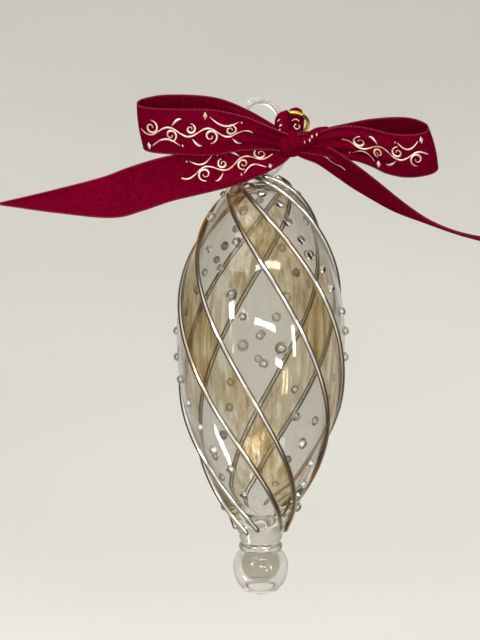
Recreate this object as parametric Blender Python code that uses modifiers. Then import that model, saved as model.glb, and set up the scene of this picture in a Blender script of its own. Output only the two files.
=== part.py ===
"""A blown glass hanging ornament: a spiral-ribbed spindle with a ball finial, a gold ring and a satin bow.

Units are metres and +Z is up. The origin is the inside top of the glass eye, the point that the
ornament hangs from. X runs to the right as the front is seen, and Y runs away from the front.
"""

import math

import bmesh
import bpy
import numpy as np
from mathutils import Matrix, Vector

# Glass eye at the top
EYE_WIDTH = 0.0180
EYE_HEIGHT = 0.0254
EYE_ROD = 0.0026
EYE_SINK = 0.0012

# Glass body, with its outline as shares of its length from the top and of its greatest radius
BODY_LENGTH = 0.1139
BODY_DIAMETER = 0.0518
BODY_OUTLINE = (
    (0.000, 0.110),
    (0.033, 0.353),
    (0.115, 0.611),
    (0.265, 0.893),
    (0.400, 1.000),
    (0.570, 0.966),
    (0.695, 0.836),
    (0.888, 0.473),
    (0.965, 0.262),
    (1.000, 0.235),
)

# Finial below the body
COLLAR_DIAMETER = 0.0134
COLLAR_HEIGHT = 0.0034
BALL_DIAMETER = 0.0170
FUSE_DEPTH = 0.0006

# Glass rods laid on the body in pairs, at a steady slope that steepens towards the top
RIB_DIAMETER = 0.0015
RIB_PAIRS = 4
PAIR_ANGLE = math.radians(33)
FRONT_ANGLE = math.radians(28)
RIB_SLOPE = 0.55
TOP_SLOPE = 1.20
TOP_FADE = 12
RIB_START = 0.012
RIB_END = 0.975

# Glass beads in the clear bands, as shares of the body's length and of the band's width
BEAD_DIAMETER = 0.0028
FRONT_BEADS = (
    (0.055, 0.45),
    (0.120, 0.30),
    (0.192, 0.82),
    (0.211, 0.29),
    (0.262, 0.40),
    (0.331, 0.41),
    (0.388, 0.41),
    (0.437, 0.49),
    (0.469, 0.66),
    (0.508, 0.36),
    (0.575, 0.58),
    (0.646, 0.44),
    (0.722, 0.40),
    (0.777, 0.56),
    (0.835, 0.34),
    (0.905, 0.50),
)
SIDE_BEADS = (
    (0.062, 0.40),
    (0.090, 0.55),
    (0.140, 0.32),
    (0.187, 0.28),
    (0.226, 0.24),
    (0.262, 0.32),
    (0.311, 0.28),
    (0.374, 0.36),
    (0.426, 0.46),
    (0.497, 0.32),
    (0.556, 0.46),
    (0.617, 0.50),
    (0.680, 0.50),
    (0.739, 0.48),
    (0.790, 0.54),
    (0.860, 0.40),
)

# Gold jump ring around the eye's right limb
RING_DIAMETER = 0.0110
RING_WIRE = 0.0010
RING_DROP = 0.0060
RING_TILT = math.radians(54)

# Satin ribbon, tied in a bow in front of the eye
RIBBON_WIDTH = 0.0140
RIBBON_THICKNESS = 0.0005
KNOT_WIDTH = 0.0092
KNOT_DEPTH = 0.0064
KNOT_HEIGHT = 0.0116
KNOT_DROP = 0.0120
WRAP_WIDTH = 0.0040
WRAP_PROUD = 0.0006
WRAP_HEIGHT = 0.0088
BIGHT_THICKNESS = 0.0021
BIGHT_RISE = 0.0115
KNOT_GAP = 0.0009
RING_GAP = 0.0006
BIGHT_GAP = 0.0013

# Bow loops: along the reach, forward by the depth, up by the reach, and the share of the ribbon's width
LEFT_REACH = 0.0468
LEFT_LEAN = math.radians(14)
RIGHT_REACH = 0.0448
RIGHT_LEAN = math.radians(30)
LOOP_DEPTH = 0.0100
LEFT_LOOP = (
    (0.03, -0.08, 0.000, 0.40),
    (0.15, -0.14, 0.055, 0.56),
    (0.28, -0.20, 0.098, 0.82),
    (0.50, -0.30, 0.130, 1.00),
    (0.80, -0.32, 0.128, 1.00),
    (0.95, -0.16, 0.118, 1.00),
    (1.00, 0.12, 0.112, 1.00),
    (0.94, 0.46, 0.108, 1.00),
    (0.78, 0.68, 0.105, 1.00),
    (0.52, 0.72, 0.100, 1.00),
    (0.32, 0.56, 0.090, 0.74),
    (0.15, 0.32, 0.040, 0.52),
    (0.03, 0.14, 0.000, 0.40),
)
RIGHT_LOOP = (
    (0.03, -0.08, 0.000, 0.40),
    (0.15, -0.14, 0.005, 0.52),
    (0.34, -0.28, 0.000, 0.82),
    (0.58, -0.36, -0.005, 1.00),
    (0.82, -0.32, -0.012, 1.00),
    (0.96, -0.12, -0.020, 1.00),
    (1.00, 0.14, -0.028, 1.00),
    (0.93, 0.48, -0.030, 1.00),
    (0.76, 0.66, -0.028, 1.00),
    (0.54, 0.64, -0.020, 1.00),
    (0.36, 0.50, -0.010, 0.78),
    (0.16, 0.30, 0.000, 0.50),
    (0.03, 0.14, 0.000, 0.40),
)

# Bow tails: along, forward and up as shares of the length, the share of the width, and the turn in degrees
LEFT_TAIL_LENGTH = 0.0890
RIGHT_TAIL_LENGTH = 0.0600
LEFT_TAIL = (
    (0.01, 0.00, -0.010, 0.36, 0),
    (0.06, 0.01, -0.030, 0.46, 0),
    (0.13, 0.02, -0.052, 0.68, -6),
    (0.20, 0.03, -0.072, 0.84, -10),
    (0.31, 0.03, -0.094, 0.93, -12),
    (0.43, 0.02, -0.118, 0.98, -8),
    (0.54, 0.01, -0.150, 1.00, -4),
    (0.61, 0.00, -0.172, 0.96, 0),
    (0.80, 0.01, -0.192, 0.53, 0),
    (0.995, 0.03, -0.207, 0.05, 0),
)
RIGHT_TAIL = (
    (0.01, 0.00, -0.020, 0.36, 0),
    (0.07, 0.01, -0.060, 0.44, 8),
    (0.15, 0.02, -0.095, 0.62, 22),
    (0.25, 0.03, -0.140, 0.84, 42),
    (0.37, 0.04, -0.202, 1.00, 57),
    (0.55, 0.04, -0.315, 1.00, 68),
    (0.68, 0.03, -0.398, 1.00, 78),
    (0.84, 0.02, -0.462, 1.00, 84),
    (1.00, 0.01, -0.503, 0.94, 86),
)

# Facets
BODY_RINGS = 38
STRIP_STEPS = 26
TAIL_STEPS = 16
ROUND_STEPS = 28
RIB_SECTION = (-1.0, -0.62, 0.0, 0.62, 1.0)

# Places that follow from the sizes above
EYE_HALF_HEIGHT = (EYE_HEIGHT - EYE_ROD) / 2
EYE_HALF_WIDTH = (EYE_WIDTH - EYE_ROD) / 2
EYE_CENTRE_Z = EYE_ROD / 2 - EYE_HALF_HEIGHT
BODY_TOP = EYE_ROD - EYE_HEIGHT + EYE_SINK
BODY_RADIUS = BODY_DIAMETER / 2
BODY_FOOT = BODY_TOP - BODY_LENGTH
COLLAR_CENTRE_Z = BODY_FOOT + FUSE_DEPTH - COLLAR_HEIGHT / 2
BALL_CENTRE_Z = BODY_FOOT + FUSE_DEPTH - BALL_DIAMETER / 2
RING_RADIUS = (RING_DIAMETER - RING_WIRE) / 2
KNOT_CENTRE = Vector(
    (
        EYE_HALF_WIDTH + 0.0015,
        -(EYE_ROD / 2 + KNOT_GAP + KNOT_DEPTH / 2),
        -KNOT_DROP,
    )
)


def clear_scene():
    """Remove every object, so that the model starts from nothing."""
    for obj in list(bpy.data.objects):
        bpy.data.objects.remove(obj, do_unlink=True)


def new_collection(name):
    """Make a collection of this name in the scene."""
    group = bpy.data.collections.new(name)
    bpy.context.scene.collection.children.link(group)
    return group


def finish_material(name, colour, roughness, metallic=0.0, transmission=0.0):
    """Make a Principled material from its plain values."""
    material = bpy.data.materials.new(name)
    material.use_nodes = True
    shader = material.node_tree.nodes["Principled BSDF"]
    shader.inputs["Base Color"].default_value = (*colour, 1.0)
    shader.inputs["Roughness"].default_value = roughness
    shader.inputs["Metallic"].default_value = metallic
    shader.inputs["Transmission Weight"].default_value = transmission
    return material


def add_object(name, mesh, group, material=None):
    """Put a mesh in a collection as an object of this name."""
    obj = bpy.data.objects.new(name, mesh)
    group.objects.link(obj)
    if material:
        mesh.materials.clear()
        mesh.materials.append(material)
    return obj


def mesh_from(work, name):
    """Turn a bmesh into a mesh and free it."""
    mesh = bpy.data.meshes.new(name)
    work.to_mesh(mesh)
    work.free()
    return mesh


def fuse(base, tool):
    """Join a tool object to the base by a Boolean union, and mark the tool as a guide."""
    tool.hide_render = True
    tool.display_type = "WIRE"
    union = base.modifiers.new("fuse " + tool.name, "BOOLEAN")
    union.operation = "UNION"
    union.solver = "EXACT"
    union.object = tool


def curve_through(stations, count):
    """Rows of a smooth curve through the stations, whose first three values are a place."""
    rows = np.array(stations, float)
    steps = np.sqrt(np.linalg.norm(np.diff(rows[:, :3], axis=0), axis=1))
    at = np.concatenate([[0.0], np.cumsum(steps)])
    slopes = np.gradient(rows, at, axis=0)
    wanted = np.linspace(0.0, at[-1], count)
    left = np.clip(np.searchsorted(at, wanted) - 1, 0, len(at) - 2)
    span = (at[left + 1] - at[left])[:, None]
    s = (wanted - at[left])[:, None] / span
    start = rows[left] * (2 * s**3 - 3 * s**2 + 1) + slopes[left] * span * (s**3 - 2 * s**2 + s)
    end = rows[left + 1] * (3 * s**2 - 2 * s**3) + slopes[left + 1] * span * (s**3 - s**2)
    return start + end


class Body:
    """The spindle's outline, the normal to it, and the twist of its ribs, ring by ring from the top."""

    def __init__(self):
        outline = [
            (share * BODY_RADIUS, 0.0, BODY_TOP - along * BODY_LENGTH)
            for along, share in BODY_OUTLINE
        ]
        rows = curve_through(outline, BODY_RINGS)
        self.radius = rows[:, 0]
        self.height = rows[:, 2]
        self.share = (BODY_TOP - self.height) / BODY_LENGTH
        run = np.stack([np.gradient(self.radius), np.gradient(self.height)])
        run /= np.linalg.norm(run, axis=0)
        self.out = -run[1]
        self.up = run[0]
        slope = RIB_SLOPE + (TOP_SLOPE - RIB_SLOPE) * (1 - self.share) ** TOP_FADE
        steps = np.hypot(np.diff(self.radius), np.diff(self.height))
        turn = (slope / self.radius)[:-1] * steps
        twist = np.concatenate([[0.0], np.cumsum(turn)])
        self.twist = twist - twist[int(np.argmax(self.radius))] + FRONT_ANGLE

    def point(self, ring, angle, proud):
        """A point on one ring, at an angle from the front and standing proud of the glass."""
        across = self.radius[ring] + proud * self.out[ring]
        return (
            across * math.sin(angle),
            -across * math.cos(angle),
            self.height[ring] + proud * self.up[ring],
        )

    def place(self, share, angle):
        """A point on the glass at a share of its length, at an angle that twists with the ribs."""
        across = np.interp(share, self.share, self.radius)
        turn = angle + np.interp(share, self.share, self.twist)
        return Vector(
            (across * math.sin(turn), -across * math.cos(turn), BODY_TOP - share * BODY_LENGTH)
        )


def rib_swell(share):
    """How far a rib stands up at a share of the body's length: fully, but for its melted ends."""
    return 1.0 if RIB_START <= share <= RIB_END else 0.0


def body_section(body, ring):
    """The points of one ring: for each pair a rib, its band, the second rib and the clear band."""
    rib_radius = RIB_DIAMETER / 2
    slant = math.hypot(1.0, RIB_SLOPE)
    half = min(rib_radius * slant / body.radius[ring], 0.4 * PAIR_ANGLE)
    swell = rib_swell(body.share[ring])
    clear_angle = 2 * math.pi / RIB_PAIRS - PAIR_ANGLE
    points = []
    for pair in range(RIB_PAIRS):
        first = body.twist[ring] + pair * 2 * math.pi / RIB_PAIRS
        for centre, gap, steps in ((first, PAIR_ANGLE, 2), (first + PAIR_ANGLE, clear_angle, 4)):
            for across in RIB_SECTION:
                proud = swell * rib_radius * math.sqrt(1 - across**2)
                points.append(body.point(ring, centre + across * half, proud))
            open_angle = gap - 2 * half
            for step in range(1, steps):
                points.append(body.point(ring, centre + half + open_angle * step / steps, 0.0))
    return points


def ribbed_body(body):
    """The spindle with its ribs, as a loft of twisted sections that is closed at both ends."""
    work = bmesh.new()
    rings = [
        [work.verts.new(point) for point in body_section(body, ring)]
        for ring in range(len(body.radius))
    ]
    count = len(rings[0])
    for upper, lower in zip(rings, rings[1:]):
        for i in range(count):
            j = (i + 1) % count
            work.faces.new((upper[i], lower[i], lower[j], upper[j]))
    work.faces.new(rings[0])
    work.faces.new(list(reversed(rings[-1])))
    bmesh.ops.recalc_face_normals(work, faces=work.faces)
    return mesh_from(work, "ribbed_body")


def beads(body):
    """Small beads along the clear bands, half sunk in the glass."""
    work = bmesh.new()
    clear_angle = 2 * math.pi / RIB_PAIRS - PAIR_ANGLE
    for pair in range(RIB_PAIRS):
        band_start = PAIR_ANGLE + (pair - 1) * 2 * math.pi / RIB_PAIRS
        for share, across in (FRONT_BEADS, SIDE_BEADS)[pair % 2]:
            centre = body.place(share, band_start + across * clear_angle)
            turn = Matrix.Rotation(math.atan2(centre.y, centre.x), 4, "Z")
            bmesh.ops.create_icosphere(
                work,
                subdivisions=1,
                radius=BEAD_DIAMETER / 2,
                matrix=Matrix.Translation(centre) @ turn,
            )
    return mesh_from(work, "beads")


def eye_mesh(group):
    """The oval eye, drawn as a closed rod and made a mesh."""
    curve = bpy.data.curves.new("eye_path", "CURVE")
    curve.dimensions = "3D"
    curve.bevel_depth = EYE_ROD / 2
    curve.bevel_resolution = 3
    spline = curve.splines.new("POLY")
    spline.points.add(ROUND_STEPS - 1)
    spline.use_cyclic_u = True
    for i, point in enumerate(spline.points):
        angle = 2 * math.pi * i / ROUND_STEPS
        x = EYE_HALF_WIDTH * math.sin(angle)
        z = EYE_CENTRE_Z + EYE_HALF_HEIGHT * math.cos(angle)
        point.co = (x, 0.0, z, 1.0)
    path = add_object("eye_path", curve, group)
    graph = bpy.context.evaluated_depsgraph_get()
    mesh = bpy.data.meshes.new_from_object(path.evaluated_get(graph))
    bpy.data.objects.remove(path, do_unlink=True)
    return mesh


def collar_mesh():
    """The round collar between the body and the ball."""
    work = bmesh.new()
    bmesh.ops.create_cone(
        work,
        cap_ends=True,
        segments=ROUND_STEPS,
        radius1=COLLAR_DIAMETER / 2,
        radius2=COLLAR_DIAMETER / 2,
        depth=COLLAR_HEIGHT + 2 * FUSE_DEPTH,
    )
    return mesh_from(work, "collar")


def ellipsoid_mesh(name, width, depth, height, rings=10):
    """A closed ellipsoid about the origin."""
    work = bmesh.new()
    bmesh.ops.create_uvsphere(work, u_segments=18, v_segments=rings, radius=0.5)
    bmesh.ops.scale(work, vec=(width, depth, height), verts=work.verts)
    return mesh_from(work, name)


def build_glass(group, guides, material):
    """The blown glass: body, ribs, beads, eye, collar and ball, fused into one solid."""
    body = Body()
    glass = add_object("glass_ornament", ribbed_body(body), group, material)
    collar = add_object("collar", collar_mesh(), guides)
    collar.location = (0.0, 0.0, COLLAR_CENTRE_Z)
    rounding = collar.modifiers.new("rounded edge", "BEVEL")
    rounding.width = COLLAR_HEIGHT * 0.4
    rounding.segments = 3
    ball = add_object(
        "ball", ellipsoid_mesh("ball", BALL_DIAMETER, BALL_DIAMETER, BALL_DIAMETER, 14), guides
    )
    ball.location = (0.0, 0.0, BALL_CENTRE_Z)
    eye = add_object("eye", eye_mesh(guides), guides)
    for tool in (collar, ball, eye, add_object("beads", beads(body), guides)):
        fuse(glass, tool)
    return glass


def build_ring(group, material):
    """The gold jump ring, tilted about X and threaded by the eye's right limb."""
    limb_x = EYE_HALF_WIDTH * math.sqrt(
        1 - ((-RING_DROP - EYE_CENTRE_Z) / EYE_HALF_HEIGHT) ** 2
    )
    inner_side = limb_x - EYE_ROD / 2 - RING_WIRE / 2 - RING_GAP
    bpy.ops.mesh.primitive_torus_add(
        major_radius=RING_RADIUS,
        minor_radius=RING_WIRE / 2,
        major_segments=ROUND_STEPS,
        minor_segments=6,
        location=(inner_side + RING_RADIUS, 0.0, -RING_DROP),
        rotation=(RING_TILT - math.pi / 2, 0.0, 0.0),
    )
    ring = bpy.context.object
    for holder in list(ring.users_collection):
        holder.objects.unlink(ring)
    group.objects.link(ring)
    ring.name = "gold_ring"
    ring.data.name = "gold_ring"
    ring.data.materials.append(material)
    ring.data.shade_smooth()
    return ring


def strip(name, rows, guides, thickness=RIBBON_THICKNESS):
    """A ribbon strip: an open surface through rows of a centre and a half width, made solid."""
    work = bmesh.new()
    pairs = [
        (work.verts.new(centre - half), work.verts.new(centre + half)) for centre, half in rows
    ]
    for (low_a, high_a), (low_b, high_b) in zip(pairs, pairs[1:]):
        work.faces.new((low_a, low_b, high_b, high_a))
    obj = add_object(name, mesh_from(work, name), guides)
    solid = obj.modifiers.new("thickness", "SOLIDIFY")
    solid.thickness = thickness
    solid.offset = 0.0
    return obj


def loop_rows(route, side, reach, lean):
    """Rows of one bow loop, whose broad side leans back from the front by an angle."""
    tilt = Matrix.Rotation(lean, 3, "X")
    upright = tilt @ Vector((0.0, 0.0, RIBBON_WIDTH / 2))
    rows = []
    for along, forward, rise, width in curve_through(route, STRIP_STEPS):
        offset = tilt @ Vector((side * along * reach, -forward * LOOP_DEPTH, rise * reach))
        rows.append((KNOT_CENTRE + offset, upright * width))
    return rows


def tail_rows(route, side, length):
    """Rows of one tail, whose broad side turns about its own run."""
    data = curve_through(route, TAIL_STEPS)
    places = [
        KNOT_CENTRE + Vector((side * along * length, -forward * length, rise * length))
        for along, forward, rise, _, _ in data
    ]
    rows = []
    for i, (place, row) in enumerate(zip(places, data)):
        ahead = places[min(i + 1, len(places) - 1)] - places[max(i - 1, 0)]
        flat = ahead.normalized().cross(Vector((0.0, side, 0.0)))
        turn = Matrix.Rotation(math.radians(row[4]), 3, ahead)
        rows.append((place, turn @ flat.normalized() * (-row[3] * RIBBON_WIDTH / 2)))
    return rows


def bight_mesh(guides):
    """The gathered bight that comes up from the knot, round the ring's wire and down again."""
    ring_front = -RING_RADIUS * math.sin(RING_TILT)
    gap = RING_WIRE / 2 + BIGHT_THICKNESS / 2 + BIGHT_GAP
    left_y = ring_front * 0.72 - gap
    right_y = ring_front * 0.96 + gap
    knot_x = KNOT_CENTRE.x
    knot_z = KNOT_CENTRE.z
    route = (
        (knot_x - 0.0012, KNOT_CENTRE.y, knot_z + 0.0020),
        (knot_x - 0.0027, left_y - 0.0003, knot_z + BIGHT_RISE * 0.50),
        (knot_x - 0.0027, left_y, knot_z + BIGHT_RISE * 0.74),
        (knot_x - 0.0016, left_y * 0.75 + right_y * 0.25, knot_z + BIGHT_RISE * 0.94),
        (knot_x + 0.0002, left_y * 0.5 + right_y * 0.5, knot_z + BIGHT_RISE),
        (knot_x + 0.0018, left_y * 0.25 + right_y * 0.75, knot_z + BIGHT_RISE * 0.92),
        (knot_x + 0.0026, right_y, knot_z + BIGHT_RISE * 0.72),
        (knot_x + 0.0025, right_y - 0.0006, knot_z + BIGHT_RISE * 0.50),
        (knot_x + 0.0014, KNOT_CENTRE.y + 0.0012, knot_z + 0.0020),
    )
    curve = bpy.data.curves.new("bight_path", "CURVE")
    curve.dimensions = "3D"
    curve.bevel_depth = BIGHT_THICKNESS / 2
    curve.bevel_resolution = 2
    curve.use_fill_caps = True
    spline = curve.splines.new("POLY")
    spline.points.add(TAIL_STEPS - 1)
    for point, row in zip(spline.points, curve_through(route, TAIL_STEPS)):
        point.co = (*row, 1.0)
    path = add_object("bight_path", curve, guides)
    graph = bpy.context.evaluated_depsgraph_get()
    mesh = bpy.data.meshes.new_from_object(path.evaluated_get(graph))
    bpy.data.objects.remove(path, do_unlink=True)
    work = bmesh.new()
    work.from_mesh(mesh)
    bmesh.ops.remove_doubles(work, verts=work.verts, dist=1e-6)
    work.to_mesh(mesh)
    work.free()
    return mesh


def build_bow(group, guides, material):
    """The ribbon: a knot with its wrap, two loops, two tails and the bight, as one solid."""
    knot_mesh = ellipsoid_mesh("ribbon_bow", KNOT_WIDTH, KNOT_DEPTH, KNOT_HEIGHT)
    bow = add_object("ribbon_bow", knot_mesh, group, material)
    bow.location = KNOT_CENTRE
    wrap_depth = KNOT_DEPTH / 2 + WRAP_PROUD
    wrap = add_object(
        "wrap", ellipsoid_mesh("wrap", WRAP_WIDTH, 2 * wrap_depth, WRAP_HEIGHT), guides
    )
    wrap.location = KNOT_CENTRE - Vector((0.0, 2 * WRAP_PROUD, 0.0))
    tools = [
        wrap,
        strip("left_loop", loop_rows(LEFT_LOOP, -1, LEFT_REACH, LEFT_LEAN), guides),
        strip("right_loop", loop_rows(RIGHT_LOOP, 1, RIGHT_REACH, RIGHT_LEAN), guides),
        strip("left_tail", tail_rows(LEFT_TAIL, -1, LEFT_TAIL_LENGTH), guides),
        strip("right_tail", tail_rows(RIGHT_TAIL, 1, RIGHT_TAIL_LENGTH), guides),
        add_object("bight", bight_mesh(guides), guides),
    ]
    for tool in tools:
        fuse(bow, tool)
    return bow


def main():
    """Build the three pieces of the ornament."""
    clear_scene()
    pieces = new_collection("christmas_ornament")
    guides = new_collection("guides")
    build_glass(pieces, guides, finish_material("clear glass", (0.90, 0.88, 0.80), 0.04, 0.0, 0.9))
    build_ring(pieces, finish_material("gold plated wire", (0.83, 0.60, 0.22), 0.22, 1.0))
    build_bow(pieces, guides, finish_material("burgundy satin", (0.33, 0.01, 0.04), 0.38))


main()
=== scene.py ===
"""The looks of a blown glass Christmas ornament, hung by its eye, with a gold ring and a satin bow.

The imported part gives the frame: the origin is the inside top of the glass eye, +Z is up, X runs to the
right as the front is seen and Y runs away from the front. Lengths are metres, written in millimetres
times MM where they are small.
"""

from __future__ import annotations

import logging
import math
from dataclasses import dataclass, field
from enum import Enum

import bmesh
import bpy
import numpy as np
from mathutils import Matrix, Vector

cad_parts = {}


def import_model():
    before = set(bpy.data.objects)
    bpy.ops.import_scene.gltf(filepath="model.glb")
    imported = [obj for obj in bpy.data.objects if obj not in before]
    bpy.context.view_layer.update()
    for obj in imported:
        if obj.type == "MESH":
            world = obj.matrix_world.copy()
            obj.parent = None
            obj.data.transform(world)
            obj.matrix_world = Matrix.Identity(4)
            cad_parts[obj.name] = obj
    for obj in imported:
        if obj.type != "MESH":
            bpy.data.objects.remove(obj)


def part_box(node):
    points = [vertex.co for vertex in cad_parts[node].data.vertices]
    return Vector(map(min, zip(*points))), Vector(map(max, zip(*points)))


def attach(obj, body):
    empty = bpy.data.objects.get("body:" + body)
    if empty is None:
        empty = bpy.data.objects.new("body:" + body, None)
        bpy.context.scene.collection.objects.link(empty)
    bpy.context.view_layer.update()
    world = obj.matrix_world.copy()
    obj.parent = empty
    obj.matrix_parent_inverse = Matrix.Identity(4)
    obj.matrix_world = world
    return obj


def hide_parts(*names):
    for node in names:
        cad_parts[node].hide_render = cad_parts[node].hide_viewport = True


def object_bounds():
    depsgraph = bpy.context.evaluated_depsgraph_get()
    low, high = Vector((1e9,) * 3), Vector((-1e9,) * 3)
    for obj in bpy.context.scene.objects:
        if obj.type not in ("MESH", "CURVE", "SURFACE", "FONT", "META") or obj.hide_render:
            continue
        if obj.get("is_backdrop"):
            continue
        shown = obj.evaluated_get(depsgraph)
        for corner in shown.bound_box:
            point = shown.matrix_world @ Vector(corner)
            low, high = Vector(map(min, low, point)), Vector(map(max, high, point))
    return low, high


log = logging.getLogger("ornament")

MM = 0.001
BODY = "root"

# A Wave texture of scale 1 draws this many bands along one unit
WAVE_BANDS = 3.18


def linear(code: str) -> tuple[float, float, float, float]:
    """Turn an sRGB hex colour into the linear values that a shader takes.

    Args:
        code: six hex digits, such as "c9a24b".

    Returns:
        Red, green, blue and an alpha of one.
    """
    parts = [int(code[i : i + 2], 16) / 255 for i in (0, 2, 4)]
    made = [p / 12.92 if p <= 0.04045 else ((p + 0.055) / 1.055) ** 2.4 for p in parts]
    return (made[0], made[1], made[2], 1.0)


def add_node(
    tree: bpy.types.NodeTree,
    kind: str,
    settings: dict | None = None,
    values: dict | None = None,
    links: dict | None = None,
    stops: list[tuple[float, str]] | None = None,
) -> bpy.types.Node:
    """Add one node to a tree, with its settings, plain input values, incoming links and colour stops.

    Args:
        tree: the node tree that gets the node.
        kind: the node's type name.
        settings: attributes of the node itself.
        values: default values by input name or index.
        links: output sockets by input name or index.
        stops: for a colour ramp, places from 0 to 1 and sRGB hex colours.

    Returns:
        The new node.
    """
    node = tree.nodes.new(kind)
    for name, value in (settings or {}).items():
        setattr(node, name, value)
    for name, value in (values or {}).items():
        node.inputs[name].default_value = value
    for name, source in (links or {}).items():
        tree.links.new(source, node.inputs[name])
    if stops:
        elements = node.color_ramp.elements
        while len(elements) < len(stops):
            elements.new(0.5)
        for element, (place, code) in zip(elements, stops):
            element.position = place
            element.color = linear(code)
    return node


def span(low: float, high: float, to_low: float = 0.0, to_high: float = 1.0) -> dict[str, float]:
    """The input values that stretch one range to another."""
    return {"From Min": low, "From Max": high, "To Min": to_low, "To Max": to_high}


def new_material(name: str) -> tuple[bpy.types.Material, bpy.types.NodeTree, bpy.types.Node]:
    """Start a node material.

    Args:
        name: what the real material is.

    Returns:
        The material, its node tree and its Principled shader.
    """
    material = bpy.data.materials.new(name)
    material.use_nodes = True
    tree = material.node_tree
    return material, tree, tree.nodes["Principled BSDF"]


def smooth_rows(stations: tuple | list, count: int, places: int = 3) -> np.ndarray:
    """Rows of a smooth curve through given stations.

    Args:
        stations: rows of numbers, of which the first ones are a place.
        count: how many rows to return.
        places: how many leading columns are the place.

    Returns:
        An array of count rows, spread by the centripetal rule.
    """
    rows = np.array(stations, float)
    steps = np.sqrt(np.linalg.norm(np.diff(rows[:, :places], axis=0), axis=1))
    at = np.concatenate([[0.0], np.cumsum(steps)])
    slopes = np.gradient(rows, at, axis=0)
    wanted = np.linspace(0.0, at[-1], count)
    left = np.clip(np.searchsorted(at, wanted) - 1, 0, len(at) - 2)
    step = (at[left + 1] - at[left])[:, None]
    s = (wanted - at[left])[:, None] / step
    start = rows[left] * (2 * s**3 - 3 * s**2 + 1) + slopes[left] * step * (s**3 - 2 * s**2 + s)
    end = rows[left + 1] * (3 * s**2 - 2 * s**3) + slopes[left + 1] * step * (s**3 - s**2)
    return start + end


def add_object(name: str, mesh: bpy.types.Mesh, *materials: bpy.types.Material) -> bpy.types.Object:
    """Put a mesh in the scene as an object at the origin.

    Args:
        name: the object's name.
        mesh: its mesh.
        materials: the materials that the mesh gets, in order.

    Returns:
        The new object.
    """
    obj = bpy.data.objects.new(name, mesh)
    bpy.context.scene.collection.objects.link(obj)
    for material in materials:
        mesh.materials.append(material)
    return obj


def mesh_from(work: bmesh.types.BMesh, name: str) -> bpy.types.Mesh:
    """Turn a bmesh into a mesh with smooth shading, and free it.

    Args:
        work: the bmesh.
        name: the mesh's name.

    Returns:
        The new mesh.
    """
    for face in work.faces:
        face.smooth = True
    mesh = bpy.data.meshes.new(name)
    work.to_mesh(mesh)
    work.free()
    return mesh


def settle(obj: bpy.types.Object) -> bpy.types.Object:
    """Replace an object's mesh by what its modifiers make of it, and drop the modifiers.

    Args:
        obj: a mesh object at the origin.

    Returns:
        The same object, with a plain mesh.
    """
    graph = bpy.context.evaluated_depsgraph_get()
    made = bpy.data.meshes.new_from_object(
        obj.evaluated_get(graph), preserve_all_data_layers=True, depsgraph=graph
    )
    obj.modifiers.clear()
    obj.data = made
    made.name = obj.name
    return obj


def dress(obj: bpy.types.Object, replaced: str | None = None) -> bpy.types.Object:
    """Fix a finished piece to the part's body and report it.

    Args:
        obj: the piece.
        replaced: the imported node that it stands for, if any.

    Returns:
        The same piece.
    """
    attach(obj, BODY)
    if replaced:
        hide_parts(replaced)
    log.info("%s: %d faces", obj.name, len(obj.data.polygons))
    return obj


def painted_light_by_facing(tree: bpy.types.NodeTree, stops: list[tuple[float, str]]) -> bpy.types.NodeSocket:
    """Paint light and shade into a glass surface's colour, from where it is seen square on (0) to where it is
    seen edge on (1).
    """
    facing = add_node(tree, "ShaderNodeLayerWeight", values={"Blend": 0.5}).outputs["Facing"]
    return add_node(tree, "ShaderNodeValToRGB", links={"Fac": facing}, stops=stops).outputs["Color"]


def object_noise(
    tree: bpy.types.NodeTree, size_mm: float, detail: float = 1.0, stretch: float = 1.0
) -> bpy.types.NodeSocket:
    """Noise on the Object coordinates.

    Args:
        tree: the material's tree.
        size_mm: the size of one patch.
        detail: how many finer octaves it has.
        stretch: the share of the frequency that is left along Z, below 1 for upright streaks.

    Returns:
        The noise's value socket.
    """
    place = add_node(tree, "ShaderNodeTexCoord").outputs["Object"]
    scaled = add_node(
        tree, "ShaderNodeMapping", values={"Scale": (1.0, 1.0, stretch)}, links={"Vector": place}
    )
    noise = add_node(
        tree,
        "ShaderNodeTexNoise",
        values={"Scale": 1.0 / (size_mm * MM), "Detail": detail},
        links={"Vector": scaled.outputs["Vector"]},
    )
    return noise.outputs[0]


@dataclass(frozen=True)
class ClearGlass:
    """Soda-lime glass, blown and fire polished: colourless, with faint waves from the blowing, and a painted
    shade that darkens its colour where it is seen edge on.
    """

    name: str = "blown clear glass"
    tint: str = "e9e7e2"
    # Painted shade: the darker colour towards the rim, where the glass is seen edge on
    rim: str = "aea89f"
    ior: float = 1.50
    roughness: float = 0.0
    clearness: float = 1.0
    wave_mm: float = 8.0
    wave_strength: float = 0.22

    def material(self) -> bpy.types.Material:
        """Build the material.

        Returns:
            The material.
        """
        material, tree, shader = new_material(self.name)
        # The colour darkens from the tint to the rim colour as the surface turns edge on: painted shade
        colour = painted_light_by_facing(tree, [(0.0, self.tint), (0.55, self.tint), (1.0, self.rim)])
        tree.links.new(colour, shader.inputs["Base Color"])
        shader.inputs["Roughness"].default_value = self.roughness
        shader.inputs["IOR"].default_value = self.ior
        shader.inputs["Transmission Weight"].default_value = self.clearness
        bump = add_node(
            tree,
            "ShaderNodeBump",
            values={"Strength": self.wave_strength, "Distance": 0.25 * MM},
            links={"Height": object_noise(tree, self.wave_mm)},
        )
        tree.links.new(bump.outputs["Normal"], shader.inputs["Normal"])
        return material


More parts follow.
